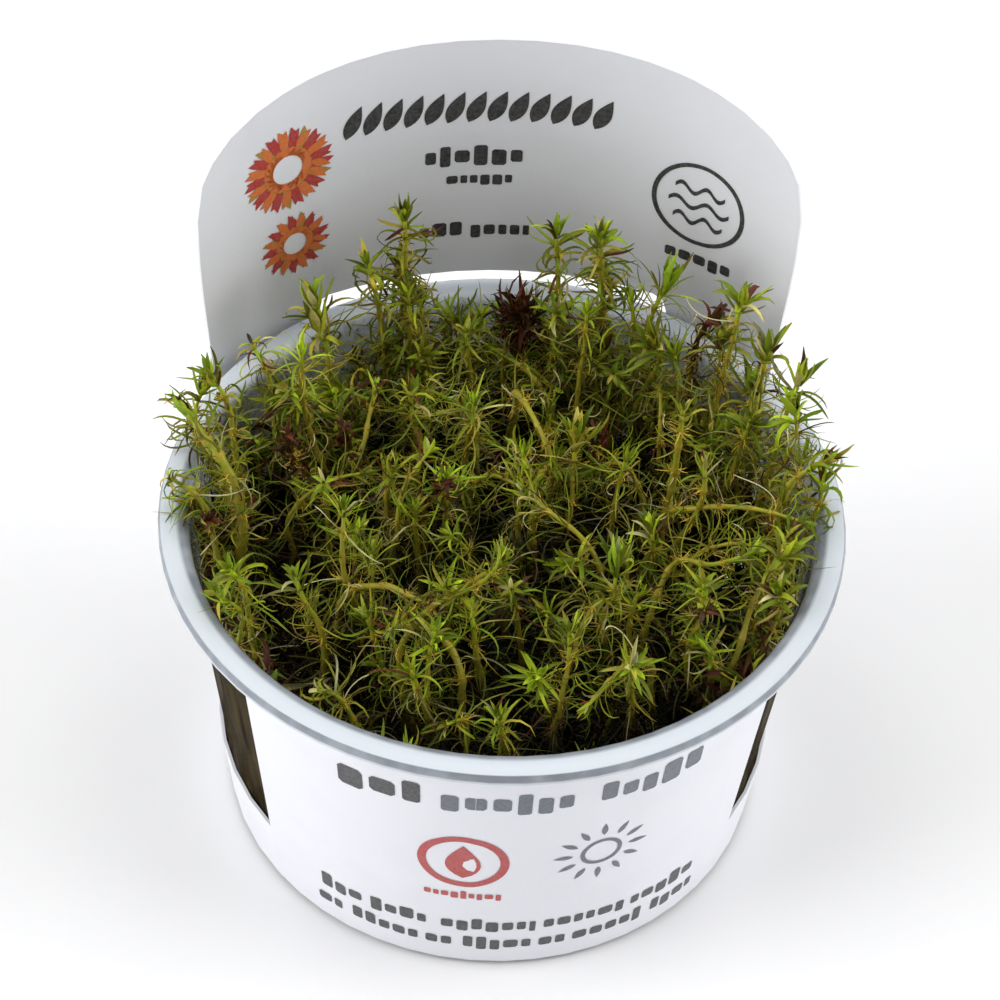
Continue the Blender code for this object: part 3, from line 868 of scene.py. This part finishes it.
        # Depth under the top of the growth sets how much painted shade the leaves take on, and a little more chance of
        # dead ones.
        depth = under_crown(base, SHADE_START, SHADE_DEPTH) * rules["dark"]
        age = place / 9.0 + (1.0 - rules["fresh"] * rng.uniform(0.3, 1.1)) * 0.8 + tone
        color = self.leaf_colors(age, depth, rules["dead"] + depth * 0.15)
        color *= (1.15 - 0.2 * np.clip(place / 6.0, 0.0, 1.0))[:, None]
        young = place < 2.2
        for chosen, outline, fade in (
            (young, (0.75, 1.0, 0.92, 0.6, 0.12), (0.1, 0.1)),
            (~young, (0.9, 1.0, 1.0, 0.95, 0.85, 0.65, 0.2), (0.3, 0.4)),
        ):
            if chosen.any():
                self.add_blades(
                    rim[chosen], heading[chosen], upper[chosen], length[chosen], width[chosen],
                    bends[chosen], color[chosen], outline, fade,
                )
        self.add_bristles(route, lengths, along, across, beside, radius, total, places)

    def seats(self, route, lengths, along, across, beside, radius, distance, turn):
        """Where leaves spring from a stem: on its axis, its direction, outward and on its skin."""
        at = np.interp(distance, lengths, np.arange(len(route)))
        low = np.clip(at.astype(int), 0, len(route) - 2)
        part = (at - low)[:, None]
        base = route[low] * (1.0 - part) + route[low + 1] * part
        outward = across[low] * np.cos(turn)[:, None] + beside[low] * np.sin(turn)[:, None]
        return base, along[low], outward, base + outward * radius[low][:, None] * 0.8

    def add_bristles(self, route, lengths, along, across, beside, radius, total, places):
        """Short stiff rootlets round the knots, and a few long pale ones."""
        rng = self.rng
        knots = np.repeat(places[(places > 4.0) & (places < 22.0)][::2], 14)
        if len(knots) == 0:
            return
        turn = rng.uniform(0.0, math.tau, len(knots))
        distance = total - knots + rng.normal(0.0, 0.55, len(knots))
        base, axis, outward, rim = self.seats(route, lengths, along, across, beside, radius, distance, turn)
        spread = rng.normal(1.35, 0.35, len(knots))
        heading = unit(axis * np.cos(spread)[:, None] + outward * np.sin(spread)[:, None])
        upper = unit(axis * np.sin(spread)[:, None] - outward * np.cos(spread)[:, None])
        length = rng.uniform(0.9, 2.5, len(knots))
        # Painted shade: the bristles, and below them the long pale ones, dim with depth under the top of the growth.
        depth = under_crown(base, SHADE_START, SHADE_DEPTH)
        color = self.mixed("straw", "ochre", rng.random(len(knots))) * (1.3 - 1.1 * depth[:, None])
        bends = rng.normal(0.0, 0.6, (len(knots), 4))
        self.add_blades(
            rim, heading, upper, length, np.full(len(knots), 0.19), bends, color, (1.0, 0.8, 0.3), (0.0, 0.0), 1,
        )
        long = rng.random(len(knots)) < 0.035
        if long.any():
            count = int(long.sum())
            self.add_blades(
                rim[long], heading[long], upper[long], rng.uniform(4.0, 9.5, count), np.full(count, 0.17),
                rng.normal(0.0, 1.0, (count, 4)) * (1.8, 2.6, 1.2, 1.0),
                self.mixed("straw", "pale", np.full(count, 0.8)) * (1.05 - depth[long, None]),
                (1.0,) * 11 + (0.5,), (0.0, 0.0), 1,
            )

    def add_roots(self, foot):
        """Brown strands that wander over the gel from the foot of a plantlet."""
        rng = self.rng
        count = self.ROOTS
        turn = rng.uniform(0.0, math.tau, count)
        outward = np.stack([np.cos(turn), np.sin(turn), np.zeros(count)], 1)
        up = np.array([0.0, 0.0, 1.0])
        climb = rng.uniform(0.1, 1.3, count)[:, None]
        heading = unit(outward * np.cos(climb) + up * np.sin(climb))
        upper = unit(up * np.cos(climb) - outward * np.sin(climb))
        color = self.mixed("brown", "straw", rng.random(count) ** 2 * 0.4) * rng.uniform(0.3, 0.9, (count, 1))
        self.add_blades(
            np.repeat(foot[None], count, axis=0), heading, upper, rng.uniform(8.0, 17.0, count),
            rng.uniform(0.5, 1.0, count), rng.normal(0.0, 1.0, (count, 4)) * (1.2, 1.6, 1.0, 1.0),
            color, (1.0,) * 7 + (0.4,), (0.0, 0.0), 1,
        )

    def held_in_cup(self):
        """All points, with those that would pass the wall or the card pressed back inside."""
        points = np.vstack(self.points)
        radius = np.hypot(points[:, 0], points[:, 1])
        height = points[:, 2]
        front = np.clip(-points[:, 1] / 40.0, 0.0, 1.0) * np.clip((height - 44.0) / 8.0, 0.0, 1.0)
        limit = inner_radius(height) - 0.25 - 1.4 * front
        low = (height < CUP_HEIGHT - 1.5) | ((front > 0.3) & (height < CUP_HEIGHT + 2.5))
        inside = low & (radius > limit)
        points[inside, :2] *= (limit[inside] / radius[inside])[:, None]
        far = radius > LEAF_REACH
        points[far, :2] *= (LEAF_REACH / radius[far])[:, None]
        rim = (height >= CUP_HEIGHT - 1.5) & (height < CUP_HEIGHT + 0.25) & (radius > MOUTH_RADIUS - 0.7)
        points[rim, 2] = CUP_HEIGHT + 0.25
        points[:, 2] = np.maximum(points[:, 2], GEL_TOP + FIT_GAP)
        centre = np.array([-math.sin(CARD_YAW), math.cos(CARD_YAW)]) * PANEL_PLAN_CENTRE
        offset = points[:, :2] - centre
        away = np.linalg.norm(offset, axis=1)
        behind = (offset[:, 1] > 0.0) & (away > PANEL_PLAN_RADIUS - 0.4) & (height > CUP_HEIGHT)
        points[behind, :2] = centre + offset[behind] * ((PANEL_PLAN_RADIUS - 0.4) / away[behind])[:, None]
        return points


def column_place(foot, height):
    """Where a plantlet that stands at foot passes a height, as the cup widens upward."""
    spread = inner_radius(height) / inner_radius(GEL_TOP)
    sway = math.radians(5.0) * math.sin((height - GEL_TOP) * 0.07)
    place = Matrix.Rotation(sway, 3, "Z") @ (foot * spread)
    place.z = height
    return place


def plantlet_feet():
    """Where each plantlet stands on the gel."""
    feet = []
    for i in range(PLANTLET_COUNT):
        radius = SPREAD_RADIUS * math.sqrt((i + 0.4) / (PLANTLET_COUNT - 0.6))
        angle = i * GOLDEN_ANGLE
        feet.append(Vector((radius * math.cos(angle), radius * math.sin(angle), 0.0)))
    return feet


def nearest_plantlet(feet, place, taken=()):
    """The plantlet that comes up nearest to a place, apart from those already taken."""
    free = [i for i in range(PLANTLET_COUNT) if i not in taken]
    goal = Vector((place[0], place[1]))
    return min(free, key=lambda i: (column_place(feet[i], CUP_HEIGHT).xy - goal).length)


def above_flange(point):
    """A point given from the top of the flange, as one from the underside of the cup."""
    return (point[0], point[1], point[2] + CUP_HEIGHT)


def further_shoots(feet):
    """For each plantlet, the shoots that fill the cup between the main ones and at its wall."""
    rng = np.random.default_rng(ROUTE_SEED)
    shoots = [[] for _ in feet]

    def lead(goal, habit, aside):
        """Lead a shoot from the foot of the nearest plantlet to its tip."""
        owner = nearest_plantlet(feet, goal)
        root = np.array(column_place(feet[owner], GEL_TOP + rng.uniform(1.5, 8.0)))
        rise = goal[2] - root[2]
        points = [root]
        for climb, reach in ((0.3, 0.5), (0.65, 0.88), (0.88, 1.0)):
            place = root + (np.array(goal) - root) * (reach, reach, climb)
            points.append(place + rng.normal(0.0, 0.9, 3) * (1.0, 1.0, 0.3))
        tilt = rng.uniform(0.0, math.tau)
        lean = abs(rng.normal(0.0, aside))
        points.append(np.array(goal) + (lean * math.cos(tilt), lean * math.sin(tilt), -0.35 * lean))
        if rise > 6.0:
            shoots[owner].append((points, habit))

    for count, reach, height, scatter, rise, habits in LAYERS:
        start = rng.uniform(0.0, math.tau)
        for k in range(count):
            radius = reach * math.sqrt((k + 0.5) / count)
            angle = start + k * GOLDEN_ANGLE
            x, y = radius * math.cos(angle), radius * math.sin(angle)
            top = height + rise * (1.0 - (radius / reach) ** 2) + rng.normal(0.0, scatter)
            lead((x + rng.normal(0.0, 2.0), y + rng.normal(0.0, 2.0), top), habits[k % len(habits)], 4.2)
    for middle, tip, habit in TALL_SHOOTS:
        for _ in range(COMPANIONS):
            share = rng.uniform(0.1, 0.75)
            place = np.array(above_flange(middle)) * (1.0 - share) + np.array(above_flange(tip)) * share
            aside = rng.normal(0.0, 2.2, 2)
            place[:2] = (place[:2] + aside) * 0.985
            lead(place, "open" if habit in ("dead", "burnt", "stout") else habit, 1.5)
    for k in range(REAR_SHOOTS):
        angle = math.radians(20.0 + 140.0 * (k + rng.uniform(0.0, 1.0)) / REAR_SHOOTS)
        radius = rng.uniform(30.0, 41.5)
        top = rng.uniform(*REAR_SHOOT_TOPS)
        lead((radius * math.cos(angle), radius * math.sin(angle), top), ("plume", "curled", "open", "bud")[k % 4], 2.5)
    for k in range(TANGLED_SHOOTS):
        radius = 34.0 * math.sqrt((k + 0.5) / TANGLED_SHOOTS)
        foot = np.array([radius * math.cos(k * GOLDEN_ANGLE), radius * math.sin(k * GOLDEN_ANGLE), 0.0])
        way, reach = rng.uniform(0.0, math.tau), rng.uniform(*TANGLED_REACH)
        ahead = np.array([math.cos(way), math.sin(way), 0.0]) * reach
        if np.linalg.norm(foot + ahead) > 40.0:
            ahead = -ahead
        crown = CROWN_EDGE + CROWN_RISE * (1.0 - (radius / MOUTH_RADIUS) ** 2)
        points = [
            foot + ahead * share + (0.0, 0.0, crown + rise)
            for share, rise in ((0.0, -16.0), (0.12, -3.0), (0.5, 2.5), (1.0, rng.uniform(0.0, 4.0)))
        ]
        shoots[nearest_plantlet(feet, foot)].append((points, ("bare", "curled", "open")[k % 3]))
    for k in range(WALL_SHOOTS):
        angle = (k + rng.uniform(-0.4, 0.4)) * math.tau / WALL_SHOOTS
        top = rng.uniform(*WALL_SHOOT_TOPS)
        radius = inner_radius(top) - rng.uniform(0.9, 2.4)
        # At the sides stand pressed shoots, which take little painted shade; at the front and back old ones, which
        # take it in full.
        habit = "pressed" if abs(math.cos(angle)) > PRESSED_SIDES else "old"
        lead((radius * math.cos(angle), radius * math.sin(angle), top), habit, 0.8)
    return shoots


def plantlet_plan():
    """For each plantlet: its main route and habit, and the further shoots that it bears."""
    seed = random.Random(ROUTE_SEED)
    feet = plantlet_feet()
    tall = {}
    for middle, tip, habit in TALL_SHOOTS:
        tall[nearest_plantlet(feet, middle, tall)] = (middle, tip, habit)
    further = further_shoots(feet)
    for points, habit in SURFACE_SHOOTS:
        owner = nearest_plantlet(feet, points[0])
        root = column_place(feet[owner], CUP_HEIGHT - 26.0)
        further[owner].append(([root, *(above_flange(point) for point in points)], habit))
    plan = []
    start = GEL_TOP + FIT_GAP
    for i, foot in enumerate(feet):
        inward = 1.0 - (foot.length / SPREAD_RADIUS) ** 2
        top = COLUMN_TOP + seed.uniform(-COLUMN_SCATTER, COLUMN_SCATTER) + COLUMN_DOME * inward
        habit = FILL_HABITS[(i * 5) % len(FILL_HABITS)]
        route = [column_place(foot, start + (top - start) * k / 5) for k in range(6)]
        if i in tall:
            middle, tip, habit = tall[i]
            goal = Vector(above_flange(middle))
            for k, reach in enumerate((0.0, 0.1, 0.35, 0.65, 0.88)):
                route[k].xy = route[k].xy.lerp(goal.xy * 0.985, reach)
            route = route[:5] + [goal, Vector(above_flange(tip))]
        else:
            route.append(column_place(foot, top + COLUMN_CROWN))
            turn, lean = seed.uniform(0.0, math.tau), seed.uniform(0.5, 3.6)
            route[-1] += Vector((math.cos(turn), math.sin(turn), -0.3)) * lean
            route[-2] += Vector((math.cos(turn), math.sin(turn), 0.0)) * lean * 0.3
        plan.append((route, habit, further[i]))
    return plan


def grow_plantlet(number, plan, palette, sizes, seed):
    """Grow one plantlet: its main shoot and then all the others."""
    route, habit, further = plan
    growth = Growth(palette, sizes, seed * 1000 + number)
    growth.add_shoot(route, habit, vigour=1.15, leafy_from=0.82 if habit == "burnt" else 0.15)
    for points, way in further:
        growth.add_shoot(
            points, way, vigour=growth.rng.uniform(0.7, 1.05), leafy_from=0.12,
            tone=growth.rng.normal(0.0, 0.35),
        )
    growth.add_roots(np.array(route[0]))
    return growth


def card_surface():
    """A search tree over the card's own faces, so that print can be laid on them."""
    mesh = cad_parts["card_sleeve"].data
    corners = [vertex.co.copy() for vertex in mesh.vertices]
    faces = [tuple(polygon.vertices) for polygon in mesh.polygons]
    return BVHTree.FromPolygons(corners, faces)


def on_panel(surface, across, height, lift):
    """The place over the inner face of the panel, from its middle and the flange's top."""
    turn = across / PANEL_PLAN_RADIUS - CARD_YAW
    centre = Vector((-math.sin(CARD_YAW), math.cos(CARD_YAW), 0.0)) * PANEL_PLAN_CENTRE
    centre.z = CUP_HEIGHT + height
    outward = Vector((math.sin(turn), math.cos(turn), 0.0))
    origin = (centre + outward * PANEL_PLAN_RADIUS * 0.8) * MM
    hit, _, _, _ = surface.ray_cast(origin, outward)
    if hit is None:
        raise RuntimeError(f"no card behind the print at {across:.1f}, {height:.1f}")
    return (hit - outward * lift) / MM


def on_label(surface, across, height, lift):
    """The place over the outer face of the front label, from its middle and the flange's top."""
    turn = across / LABEL_RADIUS + CARD_YAW
    outward = Vector((math.sin(turn), -math.cos(turn), 0.0))
    origin = (outward * 70.0 + Vector((0.0, 0.0, CUP_HEIGHT + height))) * MM
    hit, _, _, _ = surface.ray_cast(origin, -outward)
    if hit is None:
        raise RuntimeError(f"no card under the print at {across:.1f}, {height:.1f}")
    return (hit + outward * lift) / MM


class Printing:
    """Collects flat printed shapes in the card's own plane and lays them on it."""

    def __init__(self, place, surface, lift):
        self.place = place
        self.surface = surface
        self.lift = lift
        self.points = []
        self.faces = []
        self.slots = []

    def band(self, lefts, rights, ink, layer=0):
        """A printed shape given by two edges of equally many points."""
        lift = self.lift * (1.0 + 0.4 * layer)
        first = len(self.points)
        for left, right in zip(lefts, rights):
            self.points.append(self.place(self.surface, left[0], left[1], lift))
            self.points.append(self.place(self.surface, right[0], right[1], lift))
        for i in range(len(lefts) - 1):
            at = first + 2 * i
            self.faces.append((at, at + 1, at + 3, at + 2))
            self.slots.append(ink)

    def bar(self, left, right, middle, height, ink):
        """A bar with round ends."""
        count = max(6, int((right - left) / 0.7))
        lows, highs = [], []
        for i in range(count + 1):
            x = left + (right - left) * (0.5 - 0.5 * math.cos(math.pi * i / count))
            edge = min(x - left, right - x) / (height * 0.5)
            half = height * 0.5 * math.sqrt(max(0.02, 1.0 - (1.0 - min(1.0, edge)) ** 2))
            lows.append((x, middle - half))
            highs.append((x, middle + half))
        self.band(lows, highs, ink)

    def word(self, left, right, foot, height, ink, seed):
        """Blocks of uneven width and height, the size of letters but none of them."""
        rng = random.Random(seed)
        x = left
        while x < right - height * 0.3:
            width = min(height * rng.uniform(0.45, 0.85), right - x)
            top = foot + height * rng.choice((0.72, 0.72, 0.72, 1.0))
            low = foot - height * rng.choice((0.0, 0.0, 0.0, 0.22))
            inset = width * 0.16
            self.band(
                [(x, low + inset), (x + inset, low), (x + width - inset, low), (x + width, low + inset)],
                [(x, top - inset), (x + inset, top), (x + width - inset, top), (x + width, top - inset)],
                ink,
            )
            x += width + height * 0.2

    def ring(self, across, height, outer, inner, ink, start=0.0, end=math.tau, steps=48, layer=0):
        """A ring, or the part of one between two angles."""
        turns = [start + (end - start) * i / steps for i in range(steps + 1)]
        outside = [(across + outer * math.cos(a), height + outer * math.sin(a)) for a in turns]
        inside = [(across + inner * math.cos(a), height + inner * math.sin(a)) for a in turns]
        self.band(outside, inside, ink, layer)

    def leaf(self, across, height, length, width, turn, ink, layer=0):
        """A pointed leaf that starts at a place and points along turn."""
        ahead = (math.cos(turn), math.sin(turn))
        lefts, rights = [], []
        for i in range(11):
            t = i / 10
            half = width * 0.5 * math.sin(math.pi * t ** 0.8) + 0.02
            x, y = across + ahead[0] * length * t, height + ahead[1] * length * t
            lefts.append((x - ahead[1] * half, y + ahead[0] * half))
            rights.append((x + ahead[1] * half, y - ahead[0] * half))
        self.band(lefts, rights, ink, layer)

    def wave(self, left, right, middle, rise, thickness, ink):
        """A wavy line."""
        lows, highs = [], []
        for i in range(25):
            x = left + (right - left) * i / 24
            y = middle + rise * math.sin(i * math.tau / 12)
            lows.append((x, y - thickness * 0.5))
            highs.append((x, y + thickness * 0.5))
        self.band(lows, highs, ink)

    def piece(self, name, inks):
        """Turn what was collected into one printed film."""
        film = add_mesh(name, [tuple(point) for point in self.points], self.faces, inks, self.slots, smooth=True)
        return film


DARK, GREY, RED, ORANGE, OCHRE = range(5)


def print_panel(printing):
    """The back panel: a leafy heading, lines of blocks, red wreaths and a round water sign."""
    for i in range(13):
        printing.leaf(-23.0 + i * 3.15, 32.0, 6.2, 2.5, math.radians(66.0), DARK)
    printing.word(-10.5, 5.8, 24.3, 3.2, DARK, 1)
    printing.word(-7.2, 2.8, 20.2, 2.1, DARK, 2)
    for left, right, seed in ((-11.2, -4.6, 3), (-3.2, 5.8, 4)):
        printing.word(left, right, 9.8, 2.7, DARK, seed)
    wreaths = ((-32.6, 30.0, 8.0, 21), (-31.6, 15.2, 6.2, 17))
    for across, height, radius, count in wreaths:
        inner = radius * 0.5
        printing.ring(across, height, inner + 0.25, inner - 0.25, OCHRE)
        for i in range(count):
            turn = math.tau * i / count
            start = (across + inner * math.cos(turn), height + inner * math.sin(turn))
            shade = (RED, ORANGE, RED, OCHRE)[i % 4]
            printing.leaf(*start, radius * 0.5, radius * 0.2, turn + 0.55, shade, 1)
            printing.leaf(*start, radius * 0.44, radius * 0.17, turn - 0.45, (ORANGE, RED)[i % 2], 2)
            printing.leaf(*start, radius * 0.34, radius * 0.15, turn + math.pi - 0.75, ORANGE, 1)
    printing.ring(32.0, 22.6, 7.7, 6.95, DARK, steps=72)
    for i, middle in enumerate((25.3, 22.4, 19.5)):
        half = (4.1, 5.0, 4.1)[i]
        printing.wave(32.0 - half, 32.0 + half, middle, 0.75, 0.8, DARK)
    printing.word(27.2, 38.6, 11.2, 2.5, DARK, 5)


def print_label(printing):
    """The front label: a heading of blocks, a red drop sign, a grey sun sign and two lines."""
    printing.word(-25.0, -11.5, -13.6, 5.0, DARK, 6)
    printing.word(-10.0, 10.0, -13.2, 4.2, GREY, 7)
    printing.word(12.0, 29.0, -13.2, 4.2, GREY, 8)
    printing.ring(-6.8, -27.3, 6.7, 5.4, RED, steps=72)
    printing.leaf(-6.8, -31.6, 8.6, 5.2, math.radians(90.0), RED)
    printing.word(-12.6, -1.0, -37.0, 1.7, RED, 9)
    printing.ring(13.4, -27.0, 3.2, 2.5, GREY)
    for i in range(12):
        turn = math.tau * i / 12
        x, y = 13.4 + 4.3 * math.cos(turn), -27.0 + 4.3 * math.sin(turn)
        printing.leaf(x, y, 2.9, 0.9, turn, GREY)
    lines = (
        (-45.8, (-30.5, -21.5, -10.0, 6.0, 20.5, 35.5)),
        (-50.9, (-31.5, -25.0, -12.5, -6.5, 5.5, 11.0, 25.0, 35.0)),
    )
    seed = 10
    for foot, starts in lines:
        for left, right in zip(starts, starts[1:]):
            printing.word(left, right - 1.3, foot, 2.9, DARK, seed)
            seed += 1


class RotalaDressCup(bpy.types.Operator):
    """Give the cup its clear plastic"""

    bl_idname = "rotala.dress_cup"
    bl_label = "Cup"

    def execute(self, context):
        """Finish the moulded cup."""
        smooth_copy("cup", moulded_polypropylene(context.scene.rotala_cup))
        return {"FINISHED"}


class RotalaAddCondensation(bpy.types.Operator):
    """Bead the inside of the wall with condensed water"""

    bl_idname = "rotala.add_condensation"
    bl_label = "Condensation"

    def execute(self, context):
        """Scatter flat drops over the upper wall, more of them near the rim."""
        settings = context.scene.rotala_cup
        rng = np.random.default_rng(5)
        sides = 8
        turn = np.arange(sides) * math.tau / sides
        points, faces = [], []
        for _ in range(settings.droplet_count):
            size = settings.droplet_size / MM * rng.uniform(0.2, 1.0) ** 1.6
            height = CUP_HEIGHT - 1.5 - abs(rng.normal(0.0, 9.0))
            around = rng.uniform(0.0, math.tau)
            outward = np.array([math.cos(around), math.sin(around), 0.0])
            across = np.array([-math.sin(around), math.cos(around), 0.0])
            up = np.array([0.0, 0.0, 1.0])
            centre = outward * (inner_radius(height) - 0.02) + up * height
            first = len(points)
            for reach, rise in ((1.0, 0.0), (0.85, 0.28), (0.5, 0.45)):
                for angle in turn:
                    place = across * math.cos(angle) + up * math.sin(angle) * 1.15
                    points.append(centre + place * size * reach - outward * size * rise)
            for row in range(2):
                for i in range(sides):
                    at = first + row * sides
                    after = (i + 1) % sides
                    faces.append((at + i, at + after, at + sides + after, at + sides + i))
            for i in range(0, sides - 2, 2):
                at = first + 2 * sides
                faces.append((at, at + i + 1, at + i + 2, at + (i + 3) % sides))
        drops = add_mesh("condensation", points, faces, [condensed_water()])
        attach(drops, BODY)
        return {"FINISHED"}


class RotalaDressCard(bpy.types.Operator):
    """Give the card sleeve its coated board"""

    bl_idname = "rotala.dress_card"
    bl_label = "Card sleeve"

    def execute(self, context):
        """Finish the card."""
        smooth_copy("card_sleeve", coated_card(context.scene.rotala_card))
        return {"FINISHED"}


class RotalaPrintCard(bpy.types.Operator):
    """Print generic marks on the panel and the label"""

    bl_idname = "rotala.print_card"
    bl_label = "Print"

    def execute(self, context):
        """Lay two printed films on the card."""
        settings = context.scene.rotala_card
        inks = [
            offset_ink(name, color, settings.fibre_size)
            for name, color in (
                ("dark_ink", settings.dark_ink), ("grey_ink", settings.grey_ink),
                ("red_ink", settings.red_ink), ("orange_ink", settings.orange_ink),
                ("ochre_ink", settings.ochre_ink),
            )
        ]
        surface = card_surface()
        for name, place, draw in (
            ("panel_print", on_panel, print_panel), ("label_print", on_label, print_label),
        ):
            printing = Printing(place, surface, settings.ink_lift)
            draw(printing)
            film = printing.piece(name, inks)
            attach(film, BODY)
        return {"FINISHED"}


class RotalaDressGel(bpy.types.Operator):
    """Give the gel its cloudy amber body"""

    bl_idname = "rotala.dress_gel"
    bl_label = "Gel"

    def execute(self, context):
        """Finish the gel."""
        smooth_copy("nutrient_gel", culture_gel())
        return {"FINISHED"}


class RotalaGrowPlantlets(bpy.types.Operator):
    """Grow every plantlet in place of its plain solid"""

    bl_idname = "rotala.grow_plantlets"
    bl_label = "Plantlets"

    def execute(self, context):
        """Build one joined mesh of stems and leaves for each plantlet."""
        settings = context.scene.rotala_plant
        names = ("fresh", "olive", "grass", "deep", "straw", "pale", "ochre", "brown", "maroon")
        palette = {name: np.array(getattr(settings, f"{name}_color")) for name in names}
        sizes = {"leaf": settings.leaf_width, "stem": settings.stem_radius / MM}
        tissues = [
            plant_tissue("needle_leaf", 0.45, 0.0009, 0.00002, 0.22),
            plant_tissue("fleshy_stem", 0.34, 0.0012, 0.00003, 0.0),
        ]
        for i, plan in enumerate(plantlet_plan()):
            growth = grow_plantlet(i, plan, palette, sizes, settings.seed)
            name = f"plantlet_{i + 1:02d}"
            piece = add_mesh(
                f"{name}_leafy", growth.held_in_cup(), np.vstack(growth.faces), tissues,
                np.concatenate(growth.slots), np.vstack(growth.tints),
            )
            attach(piece, BODY)
            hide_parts(name)
        return {"FINISHED"}


class RotalaSetStage(bpy.types.Operator):
    """Set the floor, the soft lights and the camera"""

    bl_idname = "rotala.set_stage"
    bl_label = "Stage"

    def execute(self, context):
        """Build what surrounds the object."""
        settings = context.scene.rotala_stage
        self.add_floor(settings)
        self.add_lights(settings)
        self.add_camera()
        return {"FINISHED"}

    def add_floor(self, settings):
        """A wide matt board under the cup."""
        reach = 3000.0
        corners = [(-reach, -reach, -0.02), (reach, -reach, -0.02), (reach, reach, -0.02), (-reach, reach, -0.02)]
        floor = add_mesh("floor", corners, [(0, 1, 2, 3)], [matt_board(settings)], smooth=False)

    def add_lights(self, settings):
        """A large lamp overhead, one at each side, and light from all round."""
        target = Vector((0.0, 0.0, 0.05))
        lamps = (
            ("lamp_top", (0.0, 0.15, 1.0), 1.1, settings.key_power),
            ("lamp_left", (-0.88, -0.25, 0.5), 0.8, settings.left_power),
            ("lamp_right", (0.9, -0.05, 0.5), 0.8, settings.right_power),
        )
        for name, place, size, power in lamps:
            data = bpy.data.lights.new(name, "AREA")
            data.shape = "DISK"
            data.size = size
            data.energy = power
            lamp = bpy.data.objects.new(name, data)
            lamp.location = place
            lamp.rotation_euler = (target - lamp.location).to_track_quat("-Z", "Y").to_euler()
            bpy.context.scene.collection.objects.link(lamp)
        world = bpy.data.worlds.new("white_room")
        world.use_nodes = True
        backdrop = world.node_tree.nodes["Background"]
        backdrop.inputs["Color"].default_value = (1.0, 1.0, 1.0, 1.0)
        backdrop.inputs["Strength"].default_value = settings.world_strength
        bpy.context.scene.world = world
        bpy.context.scene.view_settings.view_transform = "Standard"

    def add_camera(self):
        """Look down at the cup from the front, as the photograph does."""
        elevation = math.radians(46.12)
        roll = math.radians(2.86)
        distance = 436.2
        focal_pixels = 3000.0
        frame_pixels = 1000.0
        shift_right, shift_up = -3.1, 6.6
        back = Vector((0.0, -math.cos(elevation), math.sin(elevation)))
        level = Vector((1.0, 0.0, 0.0))
        upright = back.cross(level)
        right = level * math.cos(roll) + upright * math.sin(roll)
        up = upright * math.cos(roll) - level * math.sin(roll)
        pixel = distance / focal_pixels
        place = back * distance + right * shift_right * pixel + up * shift_up * pixel
        place.z += CUP_HEIGHT
        data = bpy.data.cameras.new("camera")
        data.sensor_width = 36.0
        data.lens = focal_pixels / frame_pixels * data.sensor_width
        data.clip_start = 0.01
        camera = bpy.data.objects.new("camera", data)
        axes = Matrix((right, up, back)).transposed()
        camera.matrix_world = Matrix.Translation(place * MM) @ axes.to_4x4()
        bpy.context.scene.collection.objects.link(camera)
        bpy.context.scene.camera = camera


STEPS = (
    RotalaDressCup,
    RotalaAddCondensation,
    RotalaDressCard,
    RotalaPrintCard,
    RotalaDressGel,
    RotalaGrowPlantlets,
    RotalaSetStage,
)


class RotalaPanel(bpy.types.Panel):
    """Lists the steps and the values that they use"""

    bl_idname = "VIEW3D_PT_rotala"
    bl_label = "Rotala"
    bl_space_type = "VIEW_3D"
    bl_region_type = "UI"
    bl_category = "Rotala"

    def draw(self, context):
        """Show each group of values, then each step."""
        layout = self.layout
        for name, group in SETTINGS:
            box = layout.box()
            box.label(text=group.__doc__)
            for field in group.__annotations__:
                box.prop(getattr(context.scene, name), field)
        for step in STEPS:
            layout.operator(step.bl_idname)


def register():
    """Add the values, the steps and the panel to Blender."""
    for name, group in SETTINGS:
        bpy.utils.register_class(group)
        setattr(bpy.types.Scene, name, bpy.props.PointerProperty(type=group))
    for step in STEPS:
        bpy.utils.register_class(step)
    bpy.utils.register_class(RotalaPanel)


def unregister():
    """Take them out again."""
    bpy.utils.unregister_class(RotalaPanel)
    for step in reversed(STEPS):
        bpy.utils.unregister_class(step)
    for name, group in reversed(SETTINGS):
        delattr(bpy.types.Scene, name)
        bpy.utils.unregister_class(group)


def main():
    """Run every step in order."""
    register()
    for step in STEPS:
        area, action = step.bl_idname.split(".")
        getattr(getattr(bpy.ops, area), action)()


if __name__ == "__main__":
    main()
